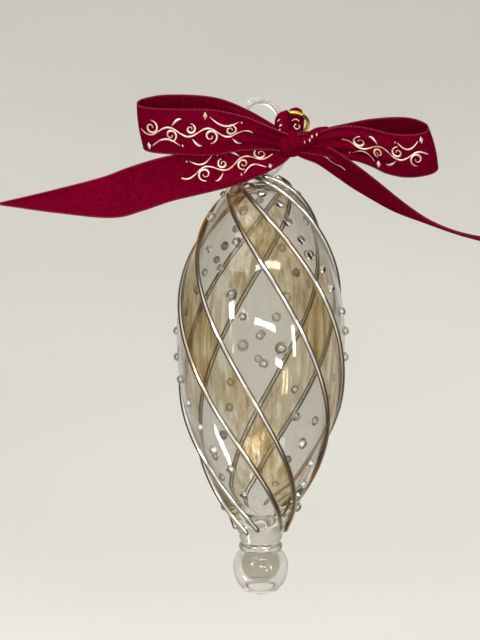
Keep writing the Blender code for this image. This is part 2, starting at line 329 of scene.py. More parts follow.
@dataclass(frozen=True)
class BeadGlass:
    """Clear glass drops whose colour holds a painted shade: bright in the middle, with a painted dark ring
    inside the rim like the one a small lens shows.
    """

    middle: str = "ffffff"
    # Painted shade: the dark ring inside the bead's rim
    ring: str = "71665b"
    rim: str = "fcfbf8"
    ior: float = 1.52

    def material(self) -> bpy.types.Material:
        """Build the material.

        Returns:
            The material.
        """
        material, tree, shader = new_material("clear glass bead")
        painted_ring_colours = (self.middle, self.middle, self.ring, self.ring, self.rim)
        colour = painted_light_by_facing(tree, list(zip((0.0, 0.06, 0.15, 0.25, 0.36), painted_ring_colours)))
        tree.links.new(colour, shader.inputs["Base Color"])
        shader.inputs["Roughness"].default_value = 0.0
        shader.inputs["IOR"].default_value = self.ior
        shader.inputs["Transmission Weight"].default_value = 1.0
        return material


@dataclass(frozen=True)
class LustreGlass:
    """Gold lustre fired on clear glass: a thin brushed film, part mirror and part amber window."""

    fade_top: float
    fade_foot: float
    light: str = "f3eddc"
    gold: str = "d2bc8e"
    deep: str = "a88b56"
    clear: str = "e9e7e2"
    ior: float = 1.50
    streak_mm: float = 1.9
    streak_stretch: float = 0.09
    patch_mm: float = 20.0
    patch_share: float = 0.55
    ragged_mm: float = 7.0
    film: tuple[float, float] = (0.05, 0.20)
    haze: tuple[float, float] = (0.01, 0.09)

    def material(self) -> bpy.types.Material:
        """Build the material, whose brush streaks run along the ornament's axis.

        Returns:
            The material.
        """
        material, tree, shader = new_material("gold lustre on glass")
        streak = object_noise(tree, self.streak_mm, 4.0, self.streak_stretch)
        patch = object_noise(tree, self.patch_mm)
        both = add_node(
            tree,
            "ShaderNodeMath",
            {"operation": "MULTIPLY_ADD"},
            {1: self.patch_share},
            {0: patch, 2: streak},
        )
        spread = add_node(
            tree, "ShaderNodeMapRange", values=span(0.63, 0.92), links={"Value": both.outputs[0]}
        ).outputs[0]

        # The film fades out towards the foot, along a ragged edge
        place = add_node(tree, "ShaderNodeTexCoord").outputs["Object"]
        level = add_node(tree, "ShaderNodeSeparateXYZ", links={0: place}).outputs["Z"]
        ragged = add_node(
            tree,
            "ShaderNodeMath",
            {"operation": "MULTIPLY_ADD"},
            {1: self.ragged_mm * MM},
            {0: streak, 2: level},
        )
        shown = add_node(
            tree,
            "ShaderNodeMapRange",
            values=span(self.fade_foot, self.fade_top),
            links={"Value": ragged.outputs[0]},
        ).outputs[0]
        stops = [(0.0, self.light), (0.35, self.gold), (0.65, self.gold), (1.0, self.deep)]
        gold = add_node(tree, "ShaderNodeValToRGB", links={"Fac": spread}, stops=stops)
        colour = add_node(
            tree,
            "ShaderNodeMix",
            {"data_type": "RGBA"},
            {6: linear(self.clear)},
            {0: shown, 7: gold.outputs["Color"]},
        )
        tree.links.new(colour.outputs[2], shader.inputs["Base Color"])
        for socket, source, values in (
            ("Metallic", spread, span(0.0, 1.0, *self.film)),
            ("Roughness", streak, span(0.3, 0.7, *self.haze)),
        ):
            full = add_node(tree, "ShaderNodeMapRange", values=values, links={"Value": source})
            links = {0: full.outputs[0], 1: shown}
            faded = add_node(tree, "ShaderNodeMath", {"operation": "MULTIPLY"}, links=links)
            tree.links.new(faded.outputs[0], shader.inputs[socket])
        shader.inputs["IOR"].default_value = self.ior
        shader.inputs["Transmission Weight"].default_value = 1.0
        return material


@dataclass(frozen=True)
class LustredRod:
    """Thin glass rod under bright lustre: silver where the film is full, amber where it is thin.

    Seen across, a rod's colour is painted light and shade: a painted highlight in the middle, painted shade
    beside it and a painted gold reflection at its edge.
    """

    # The silver and amber colours are the lustre's own, made bright in the middle of each rod as a painted
    # highlight; the darker colours beside it are painted shade and the edge colours a painted reflection
    silver: str = "fffdf9"
    silver_painted_shade: str = "62544d"
    silver_painted_reflection: str = "cdbfa4"
    amber: str = "f3dcb4"
    amber_painted_shade: str = "7f5a34"
    amber_painted_reflection: str = "c09a62"
    drift_mm: float = 26.0

    def material(self) -> bpy.types.Material:
        """Build the material, whose colour drifts slowly along the rods.

        Returns:
            The material.
        """
        material, tree, shader = new_material("lustred glass rod")
        drift = object_noise(tree, self.drift_mm)
        # Painted light: across each rod the colour runs from the highlight in the middle through shade to the
        # reflection at the edge
        places = (0.0, 0.11, 0.19, 0.30, 0.46)
        silver, amber = (
            painted_light_by_facing(tree, list(zip(places, (bright, bright, dark, dark, edge))))
            for bright, dark, edge in (
                (self.silver, self.silver_painted_shade, self.silver_painted_reflection),
                (self.amber, self.amber_painted_shade, self.amber_painted_reflection),
            )
        )
        share = add_node(
            tree, "ShaderNodeMapRange", values=span(0.52, 0.66), links={"Value": drift}
        ).outputs[0]
        colour = add_node(
            tree, "ShaderNodeMix", {"data_type": "RGBA"}, links={0: share, 6: silver, 7: amber}
        )
        facing = add_node(tree, "ShaderNodeLayerWeight", values={"Blend": 0.5}).outputs["Facing"]
        mirror = add_node(
            tree, "ShaderNodeMapRange", values=span(0.11, 0.22, 0.50, 0.85), links={"Value": facing}
        )
        tree.links.new(colour.outputs[2], shader.inputs["Base Color"])
        tree.links.new(mirror.outputs[0], shader.inputs["Metallic"])
        shader.inputs["Roughness"].default_value = 0.11
        shader.inputs["IOR"].default_value = 1.50
        shader.inputs["Transmission Weight"].default_value = 0.60
        return material


@dataclass(frozen=True)
class GoldWire:
    """Gold-plated brass wire, drawn and polished: warm yellow, with a fine grain in its tone and polish."""

    colour: str = "f6d96c"
    shade: str = "e6bd48"
    grain_mm: float = 0.8

    def material(self) -> bpy.types.Material:
        """Build the material.

        Returns:
            The material.
        """
        material, tree, shader = new_material("gold-plated wire")
        shader.inputs["Metallic"].default_value = 1.0
        grain = object_noise(tree, self.grain_mm, 2.0)
        stops = [(0.3, self.colour), (0.8, self.shade)]
        colour = add_node(tree, "ShaderNodeValToRGB", links={"Fac": grain}, stops=stops)
        polish = add_node(
            tree, "ShaderNodeMapRange", values=span(0.2, 0.8, 0.16, 0.30), links={"Value": grain}
        )
        tree.links.new(colour.outputs["Color"], shader.inputs["Base Color"])
        tree.links.new(polish.outputs[0], shader.inputs["Roughness"])
        return material


@dataclass(frozen=True)
class Satin:
    """Polyester satin ribbon, woven with a bright face: deep burgundy whose gloss is red like its threads.

    The real threads lie about 0.1 mm apart, too fine to show here, so the cross ribs are drawn 0.4 mm
    apart.
    """

    deep: str = "5a0019"
    bright: str = "6e0422"
    sheen: str = "d0284c"
    gloss: str = "c83a5a"
    rib_mm: float = 0.42

    def material(self) -> bpy.types.Material:
        """Build the material on the ribbon's own UV map, which is in millimetres.

        Returns:
            The material.
        """
        material, tree, shader = new_material("burgundy satin")
        run = add_node(tree, "ShaderNodeUVMap", {"uv_map": "Ribbon"}).outputs["UV"]
        rib = add_node(
            tree,
            "ShaderNodeTexWave",
            {"wave_type": "BANDS", "bands_direction": "X"},
            {"Scale": 1.0 / self.rib_mm / WAVE_BANDS, "Distortion": 0.5, "Detail": 1.0},
            {"Vector": run},
        )
        slub = add_node(
            tree, "ShaderNodeTexNoise", values={"Scale": 0.9, "Detail": 4.0}, links={"Vector": run}
        )
        stops = [(0.35, self.deep), (0.70, self.bright)]
        colour = add_node(tree, "ShaderNodeValToRGB", links={"Fac": slub.outputs[0]}, stops=stops)
        bump = add_node(
            tree,
            "ShaderNodeBump",
            values={"Strength": 0.40, "Distance": 0.03 * MM},
            links={"Height": rib.outputs["Fac"]},
        )
        grain = add_node(tree, "ShaderNodeTangent", {"direction_type": "UV_MAP", "uv_map": "Ribbon"})
        tree.links.new(colour.outputs["Color"], shader.inputs["Base Color"])
        tree.links.new(bump.outputs["Normal"], shader.inputs["Normal"])
        tree.links.new(grain.outputs["Tangent"], shader.inputs["Tangent"])
        shader.inputs["Metallic"].default_value = 0.18
        shader.inputs["Roughness"].default_value = 0.38
        shader.inputs["Anisotropic"].default_value = 0.45
        shader.inputs["Sheen Weight"].default_value = 0.14
        shader.inputs["Sheen Roughness"].default_value = 0.35
        shader.inputs["Sheen Tint"].default_value = linear(self.sheen)
        shader.inputs["Specular IOR Level"].default_value = 0.0
        shader.inputs["Specular Tint"].default_value = linear(self.gloss)
        return material


@dataclass(frozen=True)
class EdgeThread:
    """The picot thread that is woven along both edges of the ribbon: a shade brighter than the satin."""

    colour: str = "97193c"
    shade: str = "740726"

    def material(self) -> bpy.types.Material:
        """Build the material.

        Returns:
            The material.
        """
        material, tree, shader = new_material("burgundy edge thread")
        tone = add_node(
            tree,
            "ShaderNodeValToRGB",
            links={"Fac": object_noise(tree, 0.9)},
            stops=[(0.35, self.shade), (0.65, self.colour)],
        )
        tree.links.new(tone.outputs["Color"], shader.inputs["Base Color"])
        shader.inputs["Roughness"].default_value = 0.55
        shader.inputs["Sheen Weight"].default_value = 0.2
        return material


@dataclass(frozen=True)
class GoldFoil:
    """Hot-stamped gold foil on cloth: pale, bright, a little broken by the weave."""

    pale: str = "fff2e2"
    gold: str = "d9b48e"

    def material(self) -> bpy.types.Material:
        """Build the material.

        Returns:
            The material.
        """
        material, tree, shader = new_material("stamped gold foil")
        colour = add_node(
            tree,
            "ShaderNodeValToRGB",
            links={"Fac": object_noise(tree, 2.4, 2.0)},
            stops=[(0.36, self.gold), (0.52, self.pale)],
        )
        tree.links.new(colour.outputs["Color"], shader.inputs["Base Color"])
        shader.inputs["Metallic"].default_value = 0.55
        shader.inputs["Roughness"].default_value = 0.36
        return material


# The body from its neck to its foot: shares of its length and of its greatest radius
BODY_OUTLINE = (
    (0.000, 0.110),
    (0.033, 0.353),
    (0.115, 0.611),
    (0.265, 0.893),
    (0.400, 1.000),
    (0.570, 0.966),
    (0.695, 0.836),
    (0.888, 0.473),
    (0.960, 0.296),
    (1.000, 0.235),
)

# The collar below the body: shares of its radius, and millimetres below the body's foot
COLLAR_OUTLINE = (
    (0.925, 0.20),
    (0.985, 0.50),
    (1.000, 1.20),
    (0.985, 1.90),
    (0.935, 2.35),
    (0.955, 2.60),
)

# Points along the profile of the ball's foot: round its lip, and in over its dish
LIP_POINTS = 9
DISH_POINTS = 14

# Beads in the clear bands, as shares of the body's length and of the band's width
FRONT_BEADS = (
    (0.055, 0.45),
    (0.120, 0.30),
    (0.192, 0.82),
    (0.211, 0.29),
    (0.262, 0.40),
    (0.331, 0.41),
    (0.388, 0.41),
    (0.437, 0.49),
    (0.469, 0.66),
    (0.508, 0.36),
    (0.575, 0.58),
    (0.646, 0.44),
    (0.722, 0.40),
    (0.777, 0.56),
    (0.835, 0.34),
    (0.905, 0.50),
)
LARGE_BEADS = ((0.331, 0.41), (0.469, 0.66))
SIDE_BEADS = (
    (0.062, 0.40),
    (0.090, 0.55),
    (0.140, 0.32),
    (0.187, 0.28),
    (0.226, 0.24),
    (0.262, 0.32),
    (0.311, 0.28),
    (0.374, 0.36),
    (0.426, 0.46),
    (0.497, 0.32),
    (0.556, 0.46),
    (0.617, 0.50),
    (0.680, 0.50),
    (0.739, 0.48),
    (0.790, 0.54),
    (0.860, 0.40),
)


@dataclass
class BlownGlass:
    """The fused glass: a hollow twisted spindle with a hollow ball, an eye, laid rods and beads."""

    low: Vector
    high: Vector
    eye_width: float = 18.0 * MM
    eye_height: float = 25.4 * MM
    eye_rod: float = 2.6 * MM
    eye_foot_rod: float = 3.6 * MM
    eye_sink: float = 1.2 * MM
    body_diameter: float = 51.8 * MM
    wall: float = 1.1 * MM
    cavity_start: float = 0.030
    cavity_end: float = 0.955
    ball_diameter: float = 17.0 * MM
    ball_cavity: float = 12.0 * MM
    ball_cavity_squash: float = 0.95
    ball_cavity_lift: float = 0.6 * MM
    foot_width: float = 11.0 * MM
    foot_depth: float = 8.3 * MM
    foot_lip: float = 0.50 * MM
    collar_diameter: float = 13.4 * MM
    fuse_depth: float = 0.6 * MM
    rod_diameter: float = 1.62 * MM
    rod_proud: float = 0.18
    rod_start: float = 0.010
    rod_end: float = 0.975
    rod_end_spread: float = 0.028
    band_end: float = 0.985
    bead_diameter: float = 3.0 * MM
    large_bead: float = 1.36
    pairs: int = 4
    pair_angle: float = math.radians(33)
    front_angle: float = math.radians(28)
    slope: float = 0.55
    top_slope: float = 1.20
    top_fade: int = 12
    rings: int = 190
    around: int = 120
    top: float = field(init=False)
    foot: float = field(init=False)

    def __post_init__(self) -> None:
        """Work out the outline and the twist, ring by ring from the top."""
        self.top = self.high.z - self.eye_height + self.eye_sink
        self.foot = self.low.z + self.ball_diameter - self.fuse_depth
        self.length = self.top - self.foot
        radius = self.body_diameter / 2
        rows = smooth_rows(
            [(share * radius, self.top - along * self.length) for along, share in BODY_OUTLINE],
            self.rings,
            2,
        )
        self.radius = rows[:, 0]
        self.height = rows[:, 1]
        self.share = (self.top - self.height) / self.length
        run = np.stack([np.gradient(self.radius), np.gradient(self.height)])
        run /= np.linalg.norm(run, axis=0)
        self.out = -run[1]
        self.up = run[0]
        slope = self.slope + (self.top_slope - self.slope) * (1 - self.share) ** self.top_fade
        steps = np.hypot(np.diff(self.radius), np.diff(self.height))
        twist = np.concatenate([[0.0], np.cumsum((slope / self.radius)[:-1] * steps)])
        self.twist = twist - twist[int(np.argmax(self.radius))] + self.front_angle

    def on_glass(self, share: float, angle: float, proud: float = 0.0) -> tuple[Vector, Vector]:
        """A point on the body and its outward normal.

        Args:
            share: how far down the body, from 0 to 1.
            angle: the angle from the first rod, which twists with the rods.
            proud: how far the point stands off the glass.

        Returns:
            The point and the unit normal there.
        """
        across, height, out, up, twist = (
            float(np.interp(share, self.share, column))
            for column in (self.radius, self.height, self.out, self.up, self.twist)
        )
        turn = angle + twist
        side = Vector((math.sin(turn), -math.cos(turn), 0.0))
        normal = (side * out + Vector((0.0, 0.0, up))).normalized()
        return side * across + Vector((0.0, 0.0, height)) + normal * proud, normal

    def outer_profile(self) -> tuple[np.ndarray, np.ndarray, np.ndarray]:
        """The outside, from the neck over the collar and the ball to the dished foot.

        Returns:
            The radius, height and twist of each ring.
        """
        ball = self.ball_diameter / 2
        centre = self.low.z + ball
        collar_radius = self.collar_diameter / 2
        collar = [(collar_radius * share, self.foot - down * MM) for share, down in COLLAR_OUTLINE]
        collar_rows = smooth_rows(collar, 16, 2)
        first = math.asin((collar_rows[-1, 1] - 0.25 * MM - centre) / ball)
        foot = self.foot_width / 2
        last = -math.acos(foot / ball)
        angles = np.linspace(first, last, 40)
        globe = np.stack([ball * np.cos(angles), centre + ball * np.sin(angles)], axis=1)
        edge = centre + ball * math.sin(last)
        lip = [
            (
                foot - self.foot_lip + self.foot_lip * math.cos(b),
                edge - 0.15 * MM - self.foot_lip * math.sin(b),
            )
            for b in np.radians(np.linspace(-20, 200, LIP_POINTS))
        ]
        inward = np.linspace(foot - 2 * self.foot_lip, 0.4 * MM, DISH_POINTS)
        sag = centre - self.foot_depth - edge
        dish = np.stack([inward, edge + sag * (1 - (inward / foot) ** 2)], axis=1)
        globe = np.concatenate([globe, np.array(lip), dish])
        rows = np.concatenate([np.stack([self.radius, self.height], axis=1), collar_rows, globe])
        twist = np.concatenate(
            [self.twist, np.full(len(collar_rows) + len(globe), self.twist[-1])]
        )
        return rows[:, 0], rows[:, 1], twist

    def cavity_profile(self) -> tuple[np.ndarray, np.ndarray]:
        """The body's cavity, rounded at both ends.

        Returns:
            The radius and height of each ring.
        """
        t = np.linspace(0.0, 1.0, 120)
        t = 0.5 - 0.5 * np.cos(math.pi * t)
        share = self.cavity_start + (self.cavity_end - self.cavity_start) * t
        radius = np.interp(share, self.share, self.radius)
        near = np.minimum(t / 0.035, (1.0 - t) / 0.14)
        rounding = np.where(near < 1.0, np.sqrt(1.0 - (1.0 - np.minimum(near, 1.0)) ** 2), 1.0)
        inner = (radius - self.wall) * rounding
        return inner[1:-1], (self.top - share * self.length)[1:-1]

    def lathe(
        self,
        work: bmesh.types.BMesh,
        radius: np.ndarray,
        height: np.ndarray,
        twist: np.ndarray | None,
        poles: tuple[float, float],
        inward: bool,
        band_rings: int = 0,
        rim: tuple[int, int] = (0, 0),
        finish: int = 0,
    ) -> None:
        """Turn a profile into a closed surface whose seams follow the twist.

        Args:
            work: the bmesh that gets the faces.
            radius: ring radii from the top down.
            height: ring heights.
            twist: the turn of each ring, or None for no twist.
            poles: heights of the top and bottom poles.
            inward: True for a cavity, whose faces point into it.
            band_rings: how many rings carry the lustre bands.
            rim: the first and last ring of the ground foot rim.
            finish: the number of the material elsewhere.
        """
        turns = np.zeros(len(radius)) if twist is None else twist
        angles = np.arange(self.around) * 2 * math.pi / self.around
        rings = [
            [work.verts.new((r * math.sin(a + turn), -r * math.cos(a + turn), z)) for a in angles]
            for r, z, turn in zip(radius, height, turns)
        ]
        tip = work.verts.new((0.0, 0.0, poles[0]))
        tail = work.verts.new((0.0, 0.0, poles[1]))
        band = round(self.pair_angle / (2 * math.pi) * self.around)
        period = self.around // self.pairs
        for i in range(self.around):
            j = (i + 1) % self.around
            faces = [(tip, rings[0][i], rings[0][j]), (tail, rings[-1][j], rings[-1][i])]
            faces += [(a[i], b[i], b[j], a[j]) for a, b in zip(rings, rings[1:])]
            for count, corners in enumerate(faces):
                face = work.faces.new(corners[::-1] if inward else corners)
                face.material_index = finish
                if 2 <= count < band_rings and i % period < band:
                    face.material_index = 1
                if rim[0] < count <= rim[1]:
                    face.material_index = 3

    def eye_mesh(self) -> bpy.types.Mesh:
        """The oval eye: a glass rod that swells towards its melted foot.

        Returns:
            Its closed mesh.
        """
        work = bmesh.new()
        steps, sides = 96, 20
        half_height = (self.eye_height - self.eye_rod) / 2
        half_width = (self.eye_width - self.eye_rod) / 2
        centre_z = self.high.z - self.eye_rod / 2 - half_height
        rings = []
        for i in range(steps):
            a = 2 * math.pi * i / steps
            low = (1 - math.cos(a)) / 2
            rod = (self.eye_rod + (self.eye_foot_rod - self.eye_rod) * low**2.5) / 2
            centre = Vector((half_width * math.sin(a), 0.0, centre_z + half_height * math.cos(a)))
            side = Vector((half_height * math.sin(a), 0.0, half_width * math.cos(a))).normalized()
            rings.append(
                [
                    work.verts.new(
                        centre
                        + side * rod * math.cos(2 * math.pi * k / sides)
                        + Vector((0.0, rod * math.sin(2 * math.pi * k / sides), 0.0))
                    )
                    for k in range(sides)
                ]
            )
        for i in range(steps):
            for k in range(sides):
                m = (k + 1) % sides
                j = (i + 1) % steps
                work.faces.new((rings[i][k], rings[i][m], rings[j][m], rings[j][k]))
        bmesh.ops.recalc_face_normals(work, faces=work.faces)
        return mesh_from(work, "eye")

    def build_shell(self, *glasses: bpy.types.Material) -> bpy.types.Object:
        """The blown shell with its collar, ball and eye, and the cavities inside it.

        Args:
            glasses: the clear glass, the lustred glass of the bands between paired rods, the glass round
                the ball's bubble, tinted grey-brown as painted shade, and the ground glass of its foot rim.

        Returns:
            The finished piece.
        """
        work = bmesh.new()
        radius, height, twist = self.outer_profile()
        bands = int(np.searchsorted(self.share, self.band_end))
        rim = (len(radius) - LIP_POINTS - DISH_POINTS, len(radius) - DISH_POINTS + 1)
        self.lathe(work, radius, height, twist, (self.top, height[-1]), False, bands, rim)
        shell = add_object("blown_glass_shell", mesh_from(work, "shell"), *glasses)
        eye = add_object("eye_guide", self.eye_mesh(), glasses[0])
        union = shell.modifiers.new("fused eye", "BOOLEAN")
        union.operation = "UNION"
        union.solver = "EXACT"
        union.object = eye
        settle(shell)
        bpy.data.objects.remove(eye, do_unlink=True)
        work = bmesh.new()
        work.from_mesh(shell.data)
        inner, levels = self.cavity_profile()
        ends = (
            self.top - self.cavity_start * self.length,
            self.top - self.cavity_end * self.length,
        )
        self.lathe(work, inner, levels, None, ends, True)
        globe = self.ball_cavity / 2
        tall = globe * self.ball_cavity_squash
        centre = self.low.z + self.ball_diameter / 2 + self.ball_cavity_lift
        angles = np.linspace(math.pi / 2, -math.pi / 2, 40)[1:-1]
        self.lathe(
            work,
            globe * np.cos(angles),
            centre + tall * np.sin(angles),
            None,
            (centre + tall, centre - tall),
            True,
            finish=2,
        )
        mesh = mesh_from(work, "blown_glass_shell")
        shell.data = mesh
        for material in glasses:
            mesh.materials.append(material)
        return dress(shell, "glass_ornament")

    def build_rods(self, material: bpy.types.Material) -> bpy.types.Object:
        """The eight laid rods, swept along their spirals by Geometry Nodes.

        Args:
            material: the rods' finish.

        Returns:
            The finished piece.
        """
        work = bmesh.new()
        rng = np.random.default_rng(5)
        for pair in range(self.pairs):
            for angle in (0.0, self.pair_angle):
                turn = angle + pair * 2 * math.pi / self.pairs
                end = self.rod_end - rng.uniform(0.0, self.rod_end_spread)
                shares = self.rod_start + (end - self.rod_start) * np.linspace(0, 1, 170) ** 1.15
                proud = self.rod_proud * self.rod_diameter
                points = [work.verts.new(self.on_glass(s, turn, proud)[0]) for s in shares]
                for a, b in zip(points, points[1:]):
                    work.edges.new((a, b))
        rods = add_object("spiral_rods", mesh_from(work, "rod paths"), material)
        values = {
            "Rod Radius": self.rod_diameter / 2,
            "Sides": 14,
            "Melt": 0.006,
            "Uneven": 0.10,
            "Waves per Metre": 1.0 / (7.0 * MM),
            "Material": material,
        }
        run_tree(rods, rod_sweep_tree(), values)
        return dress(rods)

    def build_beads(self, material: bpy.types.Material) -> bpy.types.Object:
        """The glass beads of the clear bands, set on points by Geometry Nodes.

        Args:
            material: the beads' finish.

        Returns:
            The finished piece.
        """
        work = bmesh.new()
        outward = work.verts.layers.float_vector.new("outward")
        size = work.verts.layers.float.new("size")
        rng = np.random.default_rng(11)
        clear_angle = 2 * math.pi / self.pairs - self.pair_angle
        for pair in range(self.pairs):
            start = self.pair_angle + (pair - 1) * 2 * math.pi / self.pairs
            for share, across in (FRONT_BEADS, SIDE_BEADS)[pair % 2]:
                point, normal = self.on_glass(share, start + across * clear_angle, 0.01 * MM)
                vert = work.verts.new(point)
                vert[outward] = normal
                vert[size] = rng.uniform(0.86, 1.10)
                if (share, across) in LARGE_BEADS:
                    vert[size] = self.large_bead
        beads = add_object("glass_beads", mesh_from(work, "bead points"), material)
        values = {"Bead Radius": self.bead_diameter / 2, "Height": 0.92, "Material": material}
        run_tree(beads, bead_tree(), values)
        return dress(beads)


def new_tree(name: str, inputs: dict[str, str]) -> tuple[bpy.types.NodeTree, dict]:
    """Start a Geometry Nodes tree with named inputs.

    Args:
        name: the tree's name.
        inputs: kinds of socket by name, after the geometry itself.

    Returns:
        The tree, and its input sockets by name.
    """
    tree = bpy.data.node_groups.new(name, "GeometryNodeTree")
    for title, kind in {"Geometry": "Geometry", **inputs}.items():
        tree.interface.new_socket(name=title, in_out="INPUT", socket_type=f"NodeSocket{kind}")
    tree.interface.new_socket(name="Geometry", in_out="OUTPUT", socket_type="NodeSocketGeometry")
    entry = add_node(tree, "NodeGroupInput")
    return tree, {socket.name: socket for socket in entry.outputs if socket.name}


def finish_tree(
    tree: bpy.types.NodeTree, geometry: bpy.types.NodeSocket, material: bpy.types.NodeSocket
) -> bpy.types.NodeTree:
    """End a tree: its instances are made real and get their material.

    Args:
        tree: the tree.
        geometry: what it has made.
        material: the material's socket.

    Returns:
        The same tree.
    """
    real = add_node(tree, "GeometryNodeRealizeInstances", links={"Geometry": geometry})
    links = {"Geometry": real.outputs["Geometry"], "Material": material}
    dressed = add_node(tree, "GeometryNodeSetMaterial", links=links)
    add_node(tree, "NodeGroupOutput", links={"Geometry": dressed.outputs["Geometry"]})
    return tree


def run_tree(obj: bpy.types.Object, tree: bpy.types.NodeTree, values: dict) -> bpy.types.Object:
    """Run a Geometry Nodes tree on an object, and keep the result as a plain mesh.

    Args:
        obj: the object that carries the paths or points.
        tree: the tree.
        values: its input values by name.

    Returns:
        The same object.
    """
    modifier = obj.modifiers.new(tree.name, "NODES")
    modifier.node_group = tree
    for item in tree.interface.items_tree:
        if item.in_out == "INPUT" and item.name in values:
            modifier[item.identifier] = values[item.name]
    return settle(obj)


def rod_sweep_tree() -> bpy.types.NodeTree:
    """A tree that sweeps a round rod along each edge path, with melted ends and an uneven draw.

    Returns:
        The tree.
    """
    tree, entry = new_tree(
        "laid rods",
        {
            "Rod Radius": "Float",
            "Sides": "Int",
            "Melt": "Float",
            "Uneven": "Float",
            "Waves per Metre": "Float",
            "Material": "Material",
        },
    )
    curve = add_node(tree, "GeometryNodeMeshToCurve", links={"Mesh": entry["Geometry"]})

    # The melted ends: a dome over the last stretch of each rod
    place = add_node(tree, "GeometryNodeSplineParameter").outputs["Factor"]
    rest = add_node(tree, "ShaderNodeMath", {"operation": "SUBTRACT"}, {0: 1.0}, {1: place})
    ends = {0: place, 1: rest.outputs[0]}
    end = add_node(tree, "ShaderNodeMath", {"operation": "MINIMUM"}, links=ends)
    melted = add_node(
        tree, "ShaderNodeMapRange", links={"Value": end.outputs[0], "From Max": entry["Melt"]}
    )
    inverse = add_node(
        tree, "ShaderNodeMath", {"operation": "SUBTRACT"}, {0: 1.0}, {1: melted.outputs[0]}
    )
    square = add_node(tree, "ShaderNodeMath", {"operation": "POWER"}, {1: 2.0}, {0: inverse.outputs[0]})
    dome = add_node(tree, "ShaderNodeMath", {"operation": "SUBTRACT"}, {0: 1.02}, {1: square.outputs[0]})
    tip = add_node(tree, "ShaderNodeMath", {"operation": "SQRT"}, links={0: dome.outputs[0]})

    # The uneven draw: slow noise along the rod
    noise = add_node(
        tree, "ShaderNodeTexNoise", values={"Detail": 1.0}, links={"Scale": entry["Waves per Metre"]}
    )
    centred = add_node(
        tree, "ShaderNodeMath", {"operation": "SUBTRACT"}, {1: 0.5}, {0: noise.outputs[0]}
    )
    draw = add_node(
        tree,
        "ShaderNodeMath",
        {"operation": "MULTIPLY_ADD"},
        {2: 1.0},
        {0: centred.outputs[0], 1: entry["Uneven"]},
    )
    scale = add_node(
        tree, "ShaderNodeMath", {"operation": "MULTIPLY"}, links={0: tip.outputs[0], 1: draw.outputs[0]}
    )
    ring = add_node(
        tree,
        "GeometryNodeCurvePrimitiveCircle",
        links={"Resolution": entry["Sides"], "Radius": entry["Rod Radius"]},
    )
    swept = add_node(
        tree,
        "GeometryNodeCurveToMesh",
        values={"Fill Caps": True},
        links={
            "Curve": curve.outputs["Curve"],
            "Profile Curve": ring.outputs["Curve"],
            "Scale": scale.outputs[0],
        },
    )
    smooth = add_node(tree, "GeometryNodeSetShadeSmooth", links={"Geometry": swept.outputs["Mesh"]})
    return finish_tree(tree, smooth.outputs["Geometry"], entry["Material"])


def bead_tree() -> bpy.types.NodeTree:
    """A tree that sets a flat-footed glass drop on each point, facing the point's outward way.

    Returns:
        The tree.
    """
    tree, entry = new_tree(
        "glass beads", {"Bead Radius": "Float", "Height": "Float", "Material": "Material"}
    )
    ball = add_node(
        tree,
        "GeometryNodeMeshUVSphere",
        values={"Segments": 20, "Rings": 14},
        links={"Radius": entry["Bead Radius"]},
    )
    place = add_node(tree, "GeometryNodeInputPosition")
    parts = add_node(tree, "ShaderNodeSeparateXYZ", links={0: place.outputs[0]})
    tall = add_node(
        tree,
        "ShaderNodeMath",
        {"operation": "MULTIPLY"},
        links={0: parts.outputs["Z"], 1: entry["Height"]},
    )
    above = add_node(tree, "ShaderNodeMath", {"operation": "MAXIMUM"}, {1: 0.0}, {0: tall.outputs[0]})
    footed = add_node(
        tree,
        "ShaderNodeCombineXYZ",
        links={"X": parts.outputs["X"], "Y": parts.outputs["Y"], "Z": above.outputs[0]},
    )
    drop = add_node(
        tree,
        "GeometryNodeSetPosition",
        links={"Geometry": ball.outputs["Mesh"], "Position": footed.outputs[0]},
    )
    smooth = add_node(tree, "GeometryNodeSetShadeSmooth", links={"Geometry": drop.outputs["Geometry"]})
    points = add_node(tree, "GeometryNodeMeshToPoints", links={"Mesh": entry["Geometry"]})
    outward, size = (
        add_node(tree, "GeometryNodeInputNamedAttribute", {"data_type": kind}, {"Name": name})
        for kind, name in (("FLOAT_VECTOR", "outward"), ("FLOAT", "size"))
    )
    facing = add_node(
        tree, "FunctionNodeAlignRotationToVector", {"axis": "Z"}, links={"Vector": outward.outputs[0]}
    )
    placed = add_node(
        tree,
        "GeometryNodeInstanceOnPoints",
        links={
            "Points": points.outputs["Points"],
            "Instance": smooth.outputs["Geometry"],
            "Rotation": facing.outputs["Rotation"],
            "Scale": size.outputs[0],
        },
    )
    return finish_tree(tree, placed.outputs["Instances"], entry["Material"])


def stitch_tree() -> bpy.types.NodeTree:
    """A tree that lays small oval stitches along edge paths at an even spacing.

    Returns:
        The tree.
    """
    tree, entry = new_tree(
        "picot stitches", {"Spacing": "Float", "Stitch": "Vector", "Material": "Material"}
    )
    curve = add_node(tree, "GeometryNodeMeshToCurve", links={"Mesh": entry["Geometry"]})
    places = add_node(
        tree,
        "GeometryNodeCurveToPoints",
        {"mode": "LENGTH"},
        links={"Curve": curve.outputs["Curve"], "Length": entry["Spacing"]},
    )
    knot = add_node(tree, "GeometryNodeMeshIcoSphere", values={"Radius": 1.0, "Subdivisions": 1})
    smooth = add_node(tree, "GeometryNodeSetShadeSmooth", links={"Geometry": knot.outputs["Mesh"]})
    placed = add_node(
        tree,
        "GeometryNodeInstanceOnPoints",
        links={
            "Points": places.outputs["Points"],
            "Instance": smooth.outputs["Geometry"],
            "Rotation": places.outputs["Rotation"],
            "Scale": entry["Stitch"],
        },
    )
    return finish_tree(tree, placed.outputs["Instances"], entry["Material"])


